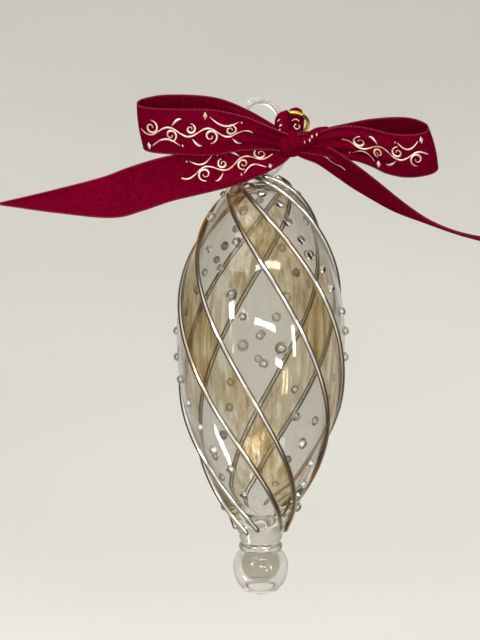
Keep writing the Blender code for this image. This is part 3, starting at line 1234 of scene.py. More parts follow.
@dataclass
class JumpRing:
    """The gold jump ring: round wire bent to a circle, with the butt joint of its two ends."""

    low: Vector
    high: Vector
    wire: float = 1.25 * MM
    diameter: float = 11.0 * MM
    tilt: float = math.radians(54)
    joint_angle: float = math.radians(-60)
    joint_gap: float = 0.08 * MM

    def build(self, material: bpy.types.Material) -> bpy.types.Object:
        """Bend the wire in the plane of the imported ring, and dress it.

        Args:
            material: the wire's finish.

        Returns:
            The finished piece.
        """
        radius = (self.diameter - self.wire) / 2
        centre = (self.low + self.high) / 2
        plane = Matrix.Translation(centre) @ Matrix.Rotation(self.tilt - math.pi / 2, 4, "X")
        work = bmesh.new()
        steps, sides = 120, 18
        spare = self.joint_gap / radius
        rings = []
        for i in range(steps + 1):
            a = self.joint_angle + spare / 2 + (2 * math.pi - spare) * i / steps
            end = min(i, steps - i)
            wire = self.wire / 2 * (0.9 if end == 0 else 1.0)
            ring = []
            for k in range(sides):
                b = 2 * math.pi * k / sides
                reach = radius + wire * math.cos(b)
                point = Vector((reach * math.cos(a), reach * math.sin(a), wire * math.sin(b)))
                ring.append(work.verts.new(plane @ point))
            rings.append(ring)
        for one, two in zip(rings, rings[1:]):
            for k in range(sides):
                m = (k + 1) % sides
                work.faces.new((one[k], one[m], two[m], two[k]))
        work.faces.new(rings[0])
        work.faces.new(rings[-1][::-1])
        bmesh.ops.recalc_face_normals(work, faces=work.faces)
        wire_ring = add_object("gold_jump_ring", mesh_from(work, "gold_jump_ring"), material)
        return dress(wire_ring, "gold_ring")


class Side(Enum):
    """Which side of the knot a stretch of ribbon goes to."""

    LEFT = -1
    RIGHT = 1


# Bow loops: along the reach, forward by the depth, up by the reach, and the share of the ribbon's width
LEFT_LOOP = (
    (0.03, -0.08, -0.010, 0.40),
    (0.15, -0.14, 0.038, 0.56),
    (0.28, -0.20, 0.070, 0.82),
    (0.50, -0.30, 0.126, 1.00),
    (0.80, -0.32, 0.146, 1.00),
    (0.95, -0.16, 0.130, 1.00),
    (1.00, 0.12, 0.108, 1.00),
    (0.94, 0.46, 0.095, 1.00),
    (0.78, 0.68, 0.093, 1.00),
    (0.52, 0.72, 0.089, 1.00),
    (0.32, 0.56, 0.078, 0.76),
    (0.15, 0.32, 0.034, 0.52),
    (0.03, 0.14, -0.006, 0.40),
)
RIGHT_LOOP = (
    (0.03, -0.08, -0.005, 0.38),
    (0.15, -0.14, -0.022, 0.50),
    (0.34, -0.28, -0.034, 0.80),
    (0.58, -0.36, -0.024, 1.00),
    (0.82, -0.32, -0.012, 1.00),
    (0.96, -0.12, -0.024, 1.00),
    (1.00, 0.14, -0.040, 1.00),
    (0.93, 0.48, -0.056, 1.00),
    (0.78, 0.66, -0.052, 1.00),
    (0.66, 0.67, -0.028, 0.95),
    (0.56, 0.63, 0.008, 0.88),
    (0.46, 0.57, 0.032, 0.82),
    (0.34, 0.48, 0.036, 0.76),
    (0.16, 0.30, 0.012, 0.50),
    (0.03, 0.14, 0.000, 0.38),
)

# Bow tails: along, forward and up as shares of the length, the share of the width, and the turn in degrees
LEFT_TAIL = (
    (0.01, 0.00, -0.020, 0.40, 0),
    (0.05, 0.01, -0.042, 0.56, 0),
    (0.09, 0.02, -0.052, 0.74, -3),
    (0.14, 0.03, -0.064, 0.86, -6),
    (0.20, 0.03, -0.083, 0.92, -9),
    (0.31, 0.03, -0.110, 0.95, -11),
    (0.43, 0.02, -0.135, 0.98, -8),
    (0.54, 0.01, -0.169, 1.00, -4),
    (0.61, 0.00, -0.190, 0.96, 0),
    (0.80, 0.01, -0.208, 0.53, 0),
    (0.995, 0.03, -0.219, 0.05, 0),
)
RIGHT_TAIL = (
    (0.01, 0.00, -0.015, 0.36, 6),
    (0.07, 0.01, -0.042, 0.42, 20),
    (0.15, 0.02, -0.073, 0.52, 40),
    (0.25, 0.03, -0.134, 0.76, 58),
    (0.37, 0.04, -0.218, 1.00, 72),
    (0.55, 0.04, -0.339, 1.00, 83),
    (0.68, 0.03, -0.405, 1.00, 90),
    (0.84, 0.02, -0.465, 1.00, 92),
    (1.00, 0.01, -0.503, 0.94, 91),
)

# The bight's two lobes, before and behind the ring's front, and the rolled cuff of the right loop: places
# in millimetres and the share of the ribbon's width
LEFT_LOBE = (
    (8.4, -5.4, -12.0, 0.24),
    (7.1, -6.5, -9.2, 0.32),
    (6.5, -6.7, -6.4, 0.32),
    (6.6, -6.4, -4.2, 0.25),
    (7.0, -5.6, -2.8, 0.14),
    (7.2, -4.8, -3.7, 0.22),
    (7.1, -4.6, -5.8, 0.30),
    (7.4, -4.7, -9.4, 0.28),
)
RIGHT_LOBE = (
    (9.8, -4.8, -11.4, 0.26),
    (10.5, -3.1, -8.8, 0.33),
    (10.9, -2.4, -5.4, 0.35),
    (10.8, -2.2, -2.8, 0.32),
    (10.6, -1.5, -1.15, 0.22),
    (10.8, -0.7, -2.4, 0.28),
    (10.9, -0.5, -5.6, 0.31),
    (10.7, -1.4, -9.4, 0.28),
)
CUFF = (
    (11.0, -8.2, -13.4, 0.20),
    (13.0, -9.5, -12.3, 0.26),
    (15.2, -10.5, -10.9, 0.25),
    (17.4, -10.9, -9.6, 0.18),
    (20.2, -10.6, -8.6, 0.05),
)


class Section(Enum):
    """How a stretch of ribbon is shaped across: gathered in pleats, or rolled with its edges tucked in."""

    PLEATED = "pleated"
    ROLLED = "rolled"


@dataclass
class RibbonRun:
    """One stretch of the ribbon: a strip along a path, gathered or rolled where it is narrow.

    Attributes:
        name: what the stretch is.
        centres: the centre line's points.
        across: unit vectors across the ribbon.
        shares: how much of the ribbon's width shows at each point.
        width: the ribbon's full width.
        section: pleated or rolled.
        pleats: how many folds take up the rest of the width.
        gather: how deep the folds are, against what the lost width asks.
        roll: the half angle of a rolled section, in radians.
        smooth_from: the share of the length past which the folds have died out.
        deepest_fold: the greatest depth of a fold.
    """

    name: str
    centres: np.ndarray
    across: np.ndarray
    shares: np.ndarray
    width: float
    section: Section = Section.PLEATED
    pleats: int = 3
    gather: float = 0.7
    roll: float = 1.2
    smooth_from: float = 2.0
    deepest_fold: float = 0.95 * MM

    def __post_init__(self) -> None:
        """Work out the stretch's half width, normals, length and folds, point by point."""
        centres, across, shares, width = self.centres, self.across, self.shares, self.width
        self.half = across * (width / 2 * shares)[:, None]
        ahead = np.gradient(centres, axis=0)
        normal = np.cross(across, ahead)
        self.normal = normal / np.linalg.norm(normal, axis=1)[:, None]
        steps = np.linalg.norm(np.diff(centres, axis=0), axis=1)
        self.run = np.concatenate([[0.0], np.cumsum(steps)])
        lost = np.clip(1.0 / np.clip(shares, 0.2, 1.0) - 1.0, 0.0, 1.6)
        wave = width * shares / self.pleats
        depth = np.minimum(wave / math.pi * np.sqrt(lost) * self.gather, self.deepest_fold)
        fade = np.clip((self.smooth_from - self.run / self.run[-1]) / 0.18, 0.0, 1.0)
        self.depth = depth * fade * fade * (3 - 2 * fade)

    @property
    def length(self) -> float:
        """The stretch's length along its centre line."""
        return float(self.run[-1])

    def half_width(self, s: float) -> float:
        """Half the width that shows at a distance along."""
        return float(np.interp(s, self.run, np.linalg.norm(self.half, axis=1)))

    def at(self, s: np.ndarray, v: np.ndarray, lift: float = 0.0) -> np.ndarray:
        """Points on the ribbon's middle surface.

        Args:
            s: distances along the centre line.
            v: places across, from -1 to 1.
            lift: how far off the surface, towards its printed face.

        Returns:
            One point for each pair.
        """
        centre, half, normal = (
            np.stack([np.interp(s, self.run, column[:, k]) for k in range(3)], axis=-1)
            for column in (self.centres, self.half, self.normal)
        )
        if self.section is Section.ROLLED:
            reach = np.linalg.norm(half, axis=-1)
            full = math.sin(min(self.roll, math.pi / 2))
            across = np.sin(self.roll * v) / full
            fold = -reach * (1.0 - np.cos(self.roll * v)) / full
            # Faint creases run round the roll
            fold = fold + 0.10 * MM * np.sin(s / (1.9 * MM) + 2.0 * v)
            return centre + half * across[..., None] + normal * (fold + lift)[..., None]
        # A broad stretch is a little cupped and sways slowly along its length
        depth = np.interp(s, self.run, self.depth)
        fold = depth * np.sin(self.pleats * math.pi * (v + 1.0) + 0.9)
        cup = 0.028 * self.width * (0.4 - v**2) * np.clip(1.0 - depth / (0.5 * MM), 0.0, 1.0)
        sway = 0.16 * MM * np.sin(s / (5.5 * MM) + 1.7 * v)
        off = fold + cup + sway + lift
        return centre + half * v[..., None] + normal * off[..., None]


class Motif(Enum):
    """What is stamped in foil on a stretch of the ribbon."""

    SCROLL = "scroll"
    CURL = "curl"
    DASHES = "dashes"
    WAVE = "wave"


def stroke(x: np.ndarray, y: np.ndarray, wide: np.ndarray | float) -> np.ndarray:
    """Rows of one flat stroke: the place along, the place across and half the stroke's width."""
    return np.stack([x, y, np.broadcast_to(wide, x.shape)], axis=1)


def lozenge(x: float, y: float, reach: float) -> np.ndarray:
    """A small upright lozenge with soft corners."""
    t = np.linspace(-1.0, 1.0, 12)
    wide = 0.62 * reach * np.clip(1.0 - np.abs(t), 0.06, 1.0)
    return stroke(np.full_like(t, x), y + reach * t, wide)


def scroll_strokes(length: float, half: float) -> list[np.ndarray]:
    """A generic vine: a swaying stem with spiral tendrils, leaves, long swashes and small lozenges.

    Args:
        length: how long the scroll is.
        half: how far it may reach from the ribbon's middle.

    Returns:
        Its strokes.
    """
    period = 12.0 * MM
    sway = 0.26 * half
    swashes = ((0.10, 1), (0.62, -1))
    s = np.linspace(0.0, length, max(int(length / (0.35 * MM)), 8))
    stem = 0.13 * MM + 0.13 * MM * np.abs(np.sin(2 * math.pi * s / period))
    strokes = [stroke(s, sway * np.sin(2 * math.pi * s / period), stem)]
    for i in range(int(length / period * 2)):
        crest = (i + 0.5) * period / 2
        way = 1 if i % 2 == 0 else -1
        t = np.linspace(0.0, 1.0, 38)
        radius = half * (0.44 - 0.06 * (i % 3)) * (1.0 - 0.80 * t)
        angle = math.pi * (2.6 * t - 0.5)
        x = crest + period * 0.06 + radius * np.cos(angle)
        y = way * (radius * np.sin(angle) - half * 0.20)
        tendril = 0.11 * MM + 0.20 * MM * np.sin(math.pi * np.minimum(t * 1.4, 1.0))
        strokes.append(stroke(x, y, tendril))
        t = np.linspace(0.0, 1.0, 16)
        leaf = 0.03 * MM + 0.30 * MM * np.sin(math.pi * np.clip(t, 0.04, 0.98))
        y = way * (sway + half * (0.12 + 0.40 * np.sin(0.6 * math.pi * t)))
        # A leaf is left out where a swash runs
        middle = crest / length + 0.09
        if not any(way == side and start < middle < start + 0.40 for start, side in swashes):
            strokes.append(stroke(crest + period * (0.10 + 0.24 * t), y, leaf))
    for start, way in swashes:
        t = np.linspace(0.0, 1.0, 34)
        x = start * length + 0.26 * length * t
        y = way * half * (0.94 - 0.42 * np.sin(math.pi * t) - 0.12 * t)
        strokes.append(stroke(x, y, 0.09 * MM + 0.17 * MM * np.sin(math.pi * t)))
        strokes.append(lozenge(x[0] - 1.3 * MM, y[0] + 0.2 * MM * way, 1.15 * MM))
        strokes.append(lozenge(x[-1] + 0.8 * MM, y[-1], 0.45 * MM))
    return strokes


def small_strokes(motif: Motif, length: float, half: float) -> list[np.ndarray]:
    """The pieces of the print that show on small folds: a curl, a row of dashes or a wave.

    Args:
        motif: which of them.
        length: how long it is.
        half: how far it may reach from the ribbon's middle.

    Returns:
        Its strokes.
    """
    t = np.linspace(0.0, 1.0, 24)
    if motif is Motif.CURL:
        turn = math.pi * (0.2 + 1.7 * t)
        return [
            stroke(length * (0.80 + 0.16 * np.sin(math.pi * t)), half * (1.3 * t - 0.75), 0.17 * MM),
            stroke(0.8 * MM * np.cos(turn) + length * 0.34, 0.8 * MM * np.sin(turn) + 0.2 * half, 0.18 * MM),
        ]
    if motif is Motif.WAVE:
        return [stroke(length * t, 0.45 * MM * np.sin(3 * math.pi * t) * (1.0 - 0.5 * t), 0.15 * MM)]
    wide = 0.20 * MM * np.sin(math.pi * (0.1 + 0.8 * t))
    return [
        stroke(length * (place + 0.10 * t), half * (at - 0.5 * t), wide)
        for place, at in ((0.02, 0.70), (0.30, 0.95), (0.52, 0.60), (0.80, 0.85))
    ]


@dataclass
class RibbonBow:
    """The satin ribbon: knot, bight, two loops and two tails, with its printed scroll and edges."""

    width: float = 14.0 * MM
    thickness: float = 0.28 * MM
    columns: int = 27
    edge_share: float = 0.965
    stitch_spacing: float = 0.80 * MM
    stitch_mm: tuple[float, float, float] = (0.30, 0.30, 0.27)
    foil_thickness: float = 0.03 * MM
    foil_lift: float = 0.05 * MM
    knot_width: float = 9.2 * MM
    knot_depth: float = 6.4 * MM
    knot_height: float = 11.6 * MM
    knot: Vector = field(default_factory=lambda: Vector((9.2 * MM, -5.4 * MM, -12.0 * MM)))
    loop_depth: float = 10.0 * MM
    left_reach: float = 46.1 * MM
    left_lean: float = math.radians(20)
    left_slant: float = math.radians(6)
    right_reach: float = 43.7 * MM
    right_lean: float = math.radians(30)
    right_slant: float = math.radians(16)
    slant_from: float = 0.62
    left_tail: float = 89.0 * MM
    right_tail: float = 60.0 * MM
    runs: list[RibbonRun] = field(default_factory=list)

    def loop_run(
        self, name: str, route: tuple, side: Side, reach: float, lean: float, slant: float
    ) -> RibbonRun:
        """One loop of the bow.

        Args:
            name: what the loop is.
            route: its stations, as the loops' lists give them.
            side: the side of the knot that it goes to.
            reach: how far it goes from the knot.
            lean: how far its broad side leans back, in radians.
            slant: how far its far end slants in the front view, in radians.

        Returns:
            The run.
        """
        rows = smooth_rows(route, 150)
        tilt = np.array(Matrix.Rotation(lean, 3, "X"))
        local = np.stack(
            [side.value * rows[:, 0] * reach, -rows[:, 1] * self.loop_depth, rows[:, 2] * reach],
            axis=1,
        )
        centres = np.array(self.knot) + local @ tilt.T
        far = np.clip((rows[:, 0] - self.slant_from) / (1.0 - self.slant_from), 0.0, 1.0) ** 1.5
        upright = np.tile(tilt @ np.array([0.0, 0.0, 1.0]), (len(rows), 1))
        upright[:, 0] -= np.tan(slant * far)
        across = side.value * upright / np.linalg.norm(upright, axis=1)[:, None]
        return RibbonRun(name, centres, across, rows[:, 3], self.width, gather=0.62)

    def tail_run(self, name: str, route: tuple, side: Side, length: float) -> RibbonRun:
        """One tail of the bow, whose broad side turns about its own run.

        Args:
            name: what the tail is.
            route: its stations, as the tails' lists give them.
            side: the side of the knot that it goes to.
            length: how far it goes from the knot.

        Returns:
            The run.
        """
        rows = smooth_rows(route, 120)
        centres = np.array(self.knot) + length * np.stack(
            [side.value * rows[:, 0], -rows[:, 1], rows[:, 2]], axis=1
        )
        ahead = np.gradient(centres, axis=0)
        across = []
        for step, turn in zip(ahead, rows[:, 4]):
            axis = Vector(step).normalized()
            flat = axis.cross(Vector((0.0, side.value, 0.0))).normalized()
            across.append(-(Matrix.Rotation(math.radians(turn), 3, axis) @ flat))
        return RibbonRun(
            name,
            centres,
            np.array(across) * -side.value,
            rows[:, 3],
            self.width,
            gather=0.40,
            smooth_from=0.34,
        )

    def wrap_run(
        self, name: str, spin: float, share: float, grow: float, tall: float, shift: Vector
    ) -> RibbonRun:
        """A turn of ribbon round the knot.

        Args:
            name: what the turn is.
            spin: how far the turn slants from upright, in radians.
            share: how much of the ribbon's width it shows.
            grow: its depth against the knot's.
            tall: its height against the knot's.
            shift: how far it stands off the knot's centre.

        Returns:
            The run, whose two ends meet behind the knot.
        """
        angles = np.linspace(0.0, 2 * math.pi, 90)
        slant = Matrix.Rotation(spin, 3, "Y")
        depth = self.knot_depth / 2 * grow
        height = self.knot_height / 2 * tall
        centres, across = [], []
        for a in angles:
            point = Vector((0.0, depth * math.cos(a), height * math.sin(a)))
            centres.append(self.knot + slant @ point + shift)
            across.append(slant @ Vector((1.0, 0.0, 0.0)))
        # The turn is drawn in over the knot's top and foot, and is a little broader above than below
        shares = share * (1.0 - 0.16 * np.sin(angles) ** 2) * (1.0 + 0.20 * np.sin(angles))
        return RibbonRun(
            name, np.array(centres), -np.array(across), shares, self.width, Section.ROLLED, roll=1.15
        )

    def route_run(self, name: str, route: tuple, roll: float, across: Vector) -> RibbonRun:
        """A short rolled stretch along given points.

        Args:
            name: what the stretch is.
            route: its points in millimetres, with the share of the ribbon's width that shows.
            roll: the half angle of its section.
            across: roughly the way across.

        Returns:
            The run.
        """
        rows = smooth_rows(route, 60)
        ahead = np.gradient(rows[:, :3], axis=0)
        way = np.cross(np.cross(ahead, np.array(across)), ahead)
        way /= np.linalg.norm(way, axis=1)[:, None]
        return RibbonRun(name, rows[:, :3] * MM, way, rows[:, 3], self.width, Section.ROLLED, roll=roll)

    def strip(self, work: bmesh.types.BMesh, run: RibbonRun) -> None:
        """Add one stretch of ribbon to a bmesh, as an open surface with its UVs in millimetres.

        Args:
            work: the bmesh, which has the UV layer.
            run: the stretch.
        """
        uv = work.loops.layers.uv["Ribbon"]
        rows = max(int(run.length / (0.55 * MM)), 12)
        s = np.linspace(0.0, run.length, rows)
        v = np.linspace(-1.0, 1.0, self.columns)
        grid_s, grid_v = np.meshgrid(s, v, indexing="ij")
        points = run.at(grid_s, grid_v)
        verts = [[work.verts.new(point) for point in row] for row in points]
        for i in range(rows - 1):
            for j in range(self.columns - 1):
                corners = ((i, j), (i + 1, j), (i + 1, j + 1), (i, j + 1))
                face = work.faces.new([verts[a][b] for a, b in corners])
                for loop, (a, b) in zip(face.loops, corners):
                    loop[uv].uv = (s[a] / MM, v[b] * self.width / 2 / MM)

    def core_mesh(self) -> bpy.types.Mesh:
        """The inside of the knot: a rounded lump with folds that run from loop to loop.

        Returns:
            Its closed mesh.
        """
        work = bmesh.new()
        bmesh.ops.create_uvsphere(work, u_segments=72, v_segments=40, radius=0.5)
        for vert in work.verts:
            round_x = math.atan2(vert.co.z, vert.co.y)
            swell = 1.0 + 0.055 * math.sin(9 * round_x + 4.0 * vert.co.x)
            vert.co = Vector(
                (
                    vert.co.x * self.knot_width * 0.92,
                    vert.co.y * self.knot_depth * 0.80 * swell,
                    vert.co.z * self.knot_height * 0.74 * swell,
                )
            )
            vert.co += self.knot - Vector((0.0, 0.0, 0.6 * MM))
        uv = work.loops.layers.uv.new("Ribbon")
        for face in work.faces:
            for loop in face.loops:
                loop[uv].uv = (loop.vert.co.z / MM, loop.vert.co.x / MM)
        return mesh_from(work, "knot core")

    def build_runs(self) -> None:
        """Lay out every stretch of the ribbon."""
        left = (Side.LEFT, self.left_reach, self.left_lean, self.left_slant)
        right = (Side.RIGHT, self.right_reach, self.right_lean, self.right_slant)
        cross = Vector((-1.9, 0.1, -1.3)) * MM
        front = Vector((0.7, -0.35, -0.5)) * MM
        self.runs = [
            self.loop_run("left loop", LEFT_LOOP, *left),
            self.loop_run("right loop", RIGHT_LOOP, *right),
            self.tail_run("left tail", LEFT_TAIL, Side.LEFT, self.left_tail),
            self.tail_run("right tail", RIGHT_TAIL, Side.RIGHT, self.right_tail),
            self.route_run("left lobe", LEFT_LOBE, 0.95, Vector((1.0, 0.0, 0.35))),
            self.route_run("right lobe", RIGHT_LOBE, 0.85, Vector((1.0, 0.0, -0.12))),
            self.route_run("cuff", CUFF, 1.35, Vector((0.3, -0.2, -1.0))),
            self.wrap_run("cross turn", math.radians(-22), 0.30, 0.96, 0.68, cross),
            self.wrap_run("front turn", math.radians(12), 0.38, 1.06, 0.60, front),
        ]

    @property
    def length(self) -> float:
        """The length of all the stretches together."""
        return sum(run.length for run in self.runs)

    def build(self, satin: bpy.types.Material) -> bpy.types.Object:
        """Make the ribbon itself.

        Args:
            satin: the ribbon's material.

        Returns:
            The finished piece.
        """
        self.build_runs()
        work = bmesh.new()
        work.loops.layers.uv.new("Ribbon")
        for run in self.runs:
            self.strip(work, run)
        ribbon = add_object("satin_ribbon", mesh_from(work, "ribbon sheet"), satin)
        solid = ribbon.modifiers.new("cloth thickness", "SOLIDIFY")
        solid.thickness = self.thickness
        solid.offset = 0.0
        settle(ribbon)
        work = bmesh.new()
        work.from_mesh(ribbon.data)
        work.from_mesh(self.core_mesh())
        ribbon.data = mesh_from(work, "satin_ribbon")
        ribbon.data.materials.clear()
        ribbon.data.materials.append(satin)
        log.info("ribbon length %.0f mm", self.length / MM)
        return dress(ribbon, "ribbon_bow")

    def build_edges(self, thread: bpy.types.Material) -> bpy.types.Object:
        """Stitch the picot along both edges of the broad stretches, by Geometry Nodes.

        Args:
            thread: the edge thread's material.

        Returns:
            The finished piece.
        """
        work = bmesh.new()
        for run in self.runs[:4]:
            s = np.linspace(0.0, run.length, max(int(run.length / self.stitch_spacing), 20))
            for edge in (-self.edge_share, self.edge_share):
                points = [work.verts.new(p) for p in run.at(s, np.full_like(s, edge))]
                for a, b in zip(points, points[1:]):
                    work.edges.new((a, b))
        stitches = add_object("picot_edge", mesh_from(work, "edge paths"), thread)
        values = {
            "Spacing": self.stitch_spacing,
            "Stitch": Vector(self.stitch_mm) * MM,
            "Material": thread,
        }
        run_tree(stitches, stitch_tree(), values)
        return dress(stitches)

    def build_foil(self, foil: bpy.types.Material) -> bpy.types.Object:
        """Print the scroll on the faces that show, following the ribbon's surface.

        Args:
            foil: the foil's finish.

        Returns:
            The finished piece.
        """
        work = bmesh.new()
        names = {run.name: run for run in self.runs}
        # Stretch, motif, start and end along it, reach from the middle as a share of the width (below 0
        # for upside down), and the printed face
        prints = (
            ("left loop", Motif.SCROLL, 0.10, 0.34, 0.36, 1),
            ("left loop", Motif.SCROLL, 0.52, 0.88, 0.36, 1),
            ("right loop", Motif.SCROLL, 0.12, 0.38, 0.36, 1),
            ("right loop", Motif.SCROLL, 0.54, 0.84, 0.36, 1),
            ("left tail", Motif.SCROLL, 0.06, 0.38, 0.36, -1),
            ("right tail", Motif.WAVE, 0.14, 0.27, 0.20, -1),
            ("left lobe", Motif.DASHES, 0.12, 0.44, -0.13, 1),
            ("right lobe", Motif.CURL, 0.18, 0.37, 0.12, 1),
            ("cuff", Motif.DASHES, 0.20, 0.70, 0.08, 1),
        )
        lift = self.thickness / 2 + self.foil_lift
        for name, motif, start, end, reach, face in prints:
            run = names[name]
            begin = start * run.length
            extent = (end - start) * run.length
            half = self.width * reach
            if motif is Motif.SCROLL:
                room = self.width / 2
                drawn = scroll_strokes(extent, half)
            else:
                room = run.half_width(begin + extent / 2)
                drawn = small_strokes(motif, extent, half)
            for line in drawn:
                along, across, wide = begin + line[:, 0], line[:, 1], line[:, 2]
                dx, dy = np.gradient(along), np.gradient(across)
                size = np.maximum(np.hypot(dx, dy), 1e-9)
                nx, ny = -dy / size * wide, dx / size * wide
                left = run.at(along + nx, (across + ny) / room, lift * face)
                right = run.at(along - nx, (across - ny) / room, lift * face)
                pairs = [(work.verts.new(a), work.verts.new(b)) for a, b in zip(left, right)]
                for (a, b), (c, d) in zip(pairs, pairs[1:]):
                    work.faces.new((a, b, d, c))
        scroll = add_object("foil_scroll", mesh_from(work, "foil strokes"), foil)
        solid = scroll.modifiers.new("foil thickness", "SOLIDIFY")
        solid.thickness = self.foil_thickness
        solid.offset = 0.0
        settle(scroll)
        return dress(scroll)


@dataclass(frozen=True)
class Lamp:
    """One area lamp, aimed at the ornament's middle: angles in degrees, lengths in metres, power in watts."""

    name: str
    azimuth: float
    height: float
    distance: float
    width: float
    tall: float
    roll: float
    power: float
    colour: str = "ffffff"

    def place(self, centre: Vector) -> None:
        """Put the lamp in the scene.

        Args:
            centre: the ornament's middle.
        """
        data = bpy.data.lights.new(self.name, "AREA")
        data.shape = "RECTANGLE"
        data.size = self.width
        data.size_y = self.tall
        data.energy = self.power
        data.color = linear(self.colour)[:3]
        lamp = bpy.data.objects.new(self.name, data)
        bpy.context.scene.collection.objects.link(lamp)
        turn, lift = math.radians(self.azimuth), math.radians(self.height)
        level = math.cos(lift)
        way = Vector((math.sin(turn) * level, -math.cos(turn) * level, math.sin(lift)))
        lamp.location = centre + way * self.distance
        aim = (-way).to_track_quat("-Z", "Y").to_matrix()
        lamp.rotation_euler = (aim @ Matrix.Rotation(math.radians(self.roll), 3, "Z")).to_euler()
        lamp.visible_camera = False
        lamp.visible_glossy = not self.name.endswith("box")
        # From behind, the middle window would stand in plain sight through the clear glass
        lamp.visible_transmission = self.name != "middle window"


# Windows and strips show as highlights on the glass, and boxes only give light
LAMPS = (
    Lamp("middle window", 5, 6, 0.62, 0.310, 0.043, -9, 0.80),
    Lamp("left window", -40, 13, 0.62, 0.081, 0.093, 12, 0.52, "fffdfa"),
    Lamp("right window", 44, -1, 0.60, 0.036, 0.132, 16, 0.34, "fffdfa"),
    Lamp("low window", 24, -10, 0.50, 0.080, 0.025, -12, 0.13),
    Lamp("low left window", -80, -38, 1.00, 0.09, 0.30, 33, 1.6),
    Lamp("ceiling strip", 12, 38, 1.00, 0.60, 0.07, 0, 1.2),
    Lamp("key box", -38, 48, 0.95, 0.50, 0.50, 0, 3.3, "fffdfb"),
    Lamp("back box", 150, 42, 1.00, 0.50, 0.40, 0, 1.3),
    Lamp("top box", 0, 88, 0.85, 0.70, 0.70, 0, 1.2),
)


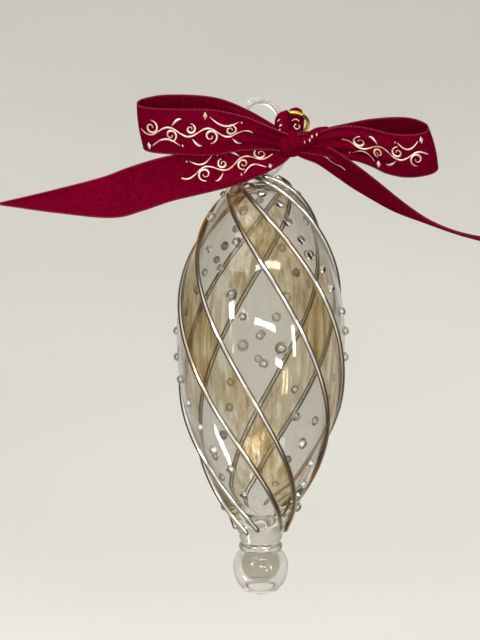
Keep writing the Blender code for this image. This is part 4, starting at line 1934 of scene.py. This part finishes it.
@dataclass
class Studio:
    """The pale floor and sweep, the soft lights and the camera at the photograph's angle."""

    centre: Vector
    distance: float = 0.42
    frame_height: float = 198.4 * MM
    frame_x: float = -6.4 * MM
    frame_z: float = -66.8 * MM
    floor_drop: float = 0.200
    floor_patch_mm: float = 330.0
    floor_inner: float = 0.2
    bend_start: float = 0.40
    bend_width: float = 0.85
    bend_height: float = 0.75
    wall_height: float = 1.10

    def build_sweep(self) -> None:
        """The floor, which rises all round into a wall in one smooth sweep."""
        material, tree, shader = new_material("pale paper sweep")
        colour = add_node(
            tree,
            "ShaderNodeValToRGB",
            links={"Fac": object_noise(tree, self.floor_patch_mm)},
            stops=[(0.3, "dcdbd6"), (0.7, "e1e0db")],
        )
        tree.links.new(colour.outputs["Color"], shader.inputs["Base Color"])
        shader.inputs["Roughness"].default_value = 0.9
        shader.inputs["Specular IOR Level"].default_value = 0.1
        turns = [math.pi / 2 * i / 24 for i in range(25)]
        rise = [
            (
                self.bend_start + self.bend_width * math.sin(a),
                self.bend_height * (1 - math.cos(a)),
            )
            for a in turns
        ]
        top = (self.bend_start + self.bend_width, self.wall_height)
        profile = [(self.floor_inner, 0.0), *rise, top]
        work = bmesh.new()
        sides = 96
        angles = [2 * math.pi * k / sides for k in range(sides)]
        rings = [
            [work.verts.new((r * math.cos(a), r * math.sin(a), z - self.floor_drop)) for a in angles]
            for r, z in profile
        ]
        work.faces.new(rings[0])
        for k in range(sides):
            m = (k + 1) % sides
            for a, b in zip(rings, rings[1:]):
                work.faces.new((a[k], b[k], b[m], a[m]))
        sweep = add_object("pale_sweep", mesh_from(work, "pale_sweep"), material)
        sweep.visible_glossy = False
        sweep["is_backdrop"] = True

    def build_world(self) -> None:
        """A dim room that gloss sees: bright before and behind, dark at the sides, pale above."""
        world = bpy.data.worlds.new("studio room")
        bpy.context.scene.world = world
        world.use_nodes = True
        tree = world.node_tree
        back = tree.nodes["Background"]
        way = add_node(tree, "ShaderNodeTexCoord").outputs["Generated"]
        parts = add_node(tree, "ShaderNodeSeparateXYZ", links={0: way})
        up = add_node(
            tree, "ShaderNodeMapRange", values=span(-1.0, 1.0), links={"Value": parts.outputs["Z"]}
        )
        column = add_node(
            tree,
            "ShaderNodeValToRGB",
            links={"Fac": up.outputs[0]},
            stops=[(0.0, "c9c6c1"), (0.25, "cfccc8"), (0.45, "c6c3be"), (0.78, "c6c3be"), (1.0, "f2f1ef")],
        )
        side = add_node(
            tree, "ShaderNodeMath", {"operation": "POWER"}, {1: 2.0}, {0: parts.outputs["X"]}
        )
        glow = add_node(
            tree,
            "ShaderNodeValToRGB",
            links={"Fac": side.outputs[0]},
            stops=[(0.0, "ffffff"), (0.40, "f4f2ef"), (0.60, "a09b95"), (0.75, "6e6a65"), (1.0, "85807b")],
        )
        room = add_node(
            tree,
            "ShaderNodeMix",
            {"data_type": "RGBA", "blend_type": "MULTIPLY"},
            {0: 1.0},
            {6: column.outputs["Color"], 7: glow.outputs["Color"]},
        )
        tree.links.new(room.outputs[2], back.inputs["Color"])
        back.inputs["Strength"].default_value = 1.05

    def build_camera(self) -> None:
        """The camera, level with the middle of the photograph's frame and looking along +Y."""
        data = bpy.data.cameras.new("camera")
        data.sensor_width = 36.0
        data.lens = data.sensor_width * self.distance / self.frame_height
        data.clip_start = 0.01
        camera = bpy.data.objects.new("camera", data)
        bpy.context.scene.collection.objects.link(camera)
        camera.location = (self.frame_x, -self.distance, self.frame_z)
        camera.rotation_euler = (math.pi / 2, 0.0, 0.0)
        bpy.context.scene.camera = camera

    def build(self) -> None:
        """Set up the whole studio."""
        self.build_sweep()
        self.build_world()
        for lamp in LAMPS:
            lamp.place(self.centre)
        self.build_camera()
        scene = bpy.context.scene
        scene.view_settings.view_transform = "Standard"
        scene.cycles.max_bounces = 24
        scene.cycles.transmission_bounces = 20
        scene.cycles.transparent_max_bounces = 16
        scene.cycles.glossy_bounces = 8


def corners(low: Vector, high: Vector) -> list[list[float]]:
    """A box as two plain lists of numbers."""
    return [list(low), list(high)]


def main() -> None:
    """Build and dress every piece of the ornament in order."""
    logging.basicConfig(level=logging.INFO, format="%(message)s")
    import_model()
    frame_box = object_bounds()
    glass = BlownGlass(*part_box("glass_ornament"))
    clear = ClearGlass().material()
    lustre = LustreGlass(fade_top=glass.foot + 14 * MM, fade_foot=glass.foot + 8 * MM)
    # The bubble's glass is tinted grey-brown as painted shade, so that the ball's cavity reads darker
    bubble = ClearGlass("painted-shade glass of the ball's bubble", tint="c9c5b9", wave_strength=0.05)
    ground = ClearGlass(
        "ground glass of the foot rim", "ffffff", "ffffff", roughness=0.30, clearness=0.55
    )
    glass.build_shell(clear, lustre.material(), bubble.material(), ground.material())
    glass.build_rods(LustredRod().material())
    glass.build_beads(BeadGlass().material())
    JumpRing(*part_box("gold_ring")).build(GoldWire().material())
    bow = RibbonBow()
    ribbon = bow.build(Satin().material())
    scroll = bow.build_foil(GoldFoil().material())
    edges = bow.build_edges(EdgeThread().material())
    bow.length
    Studio((frame_box[0] + frame_box[1]) / 2).build()


if __name__ == "__main__":
    main()
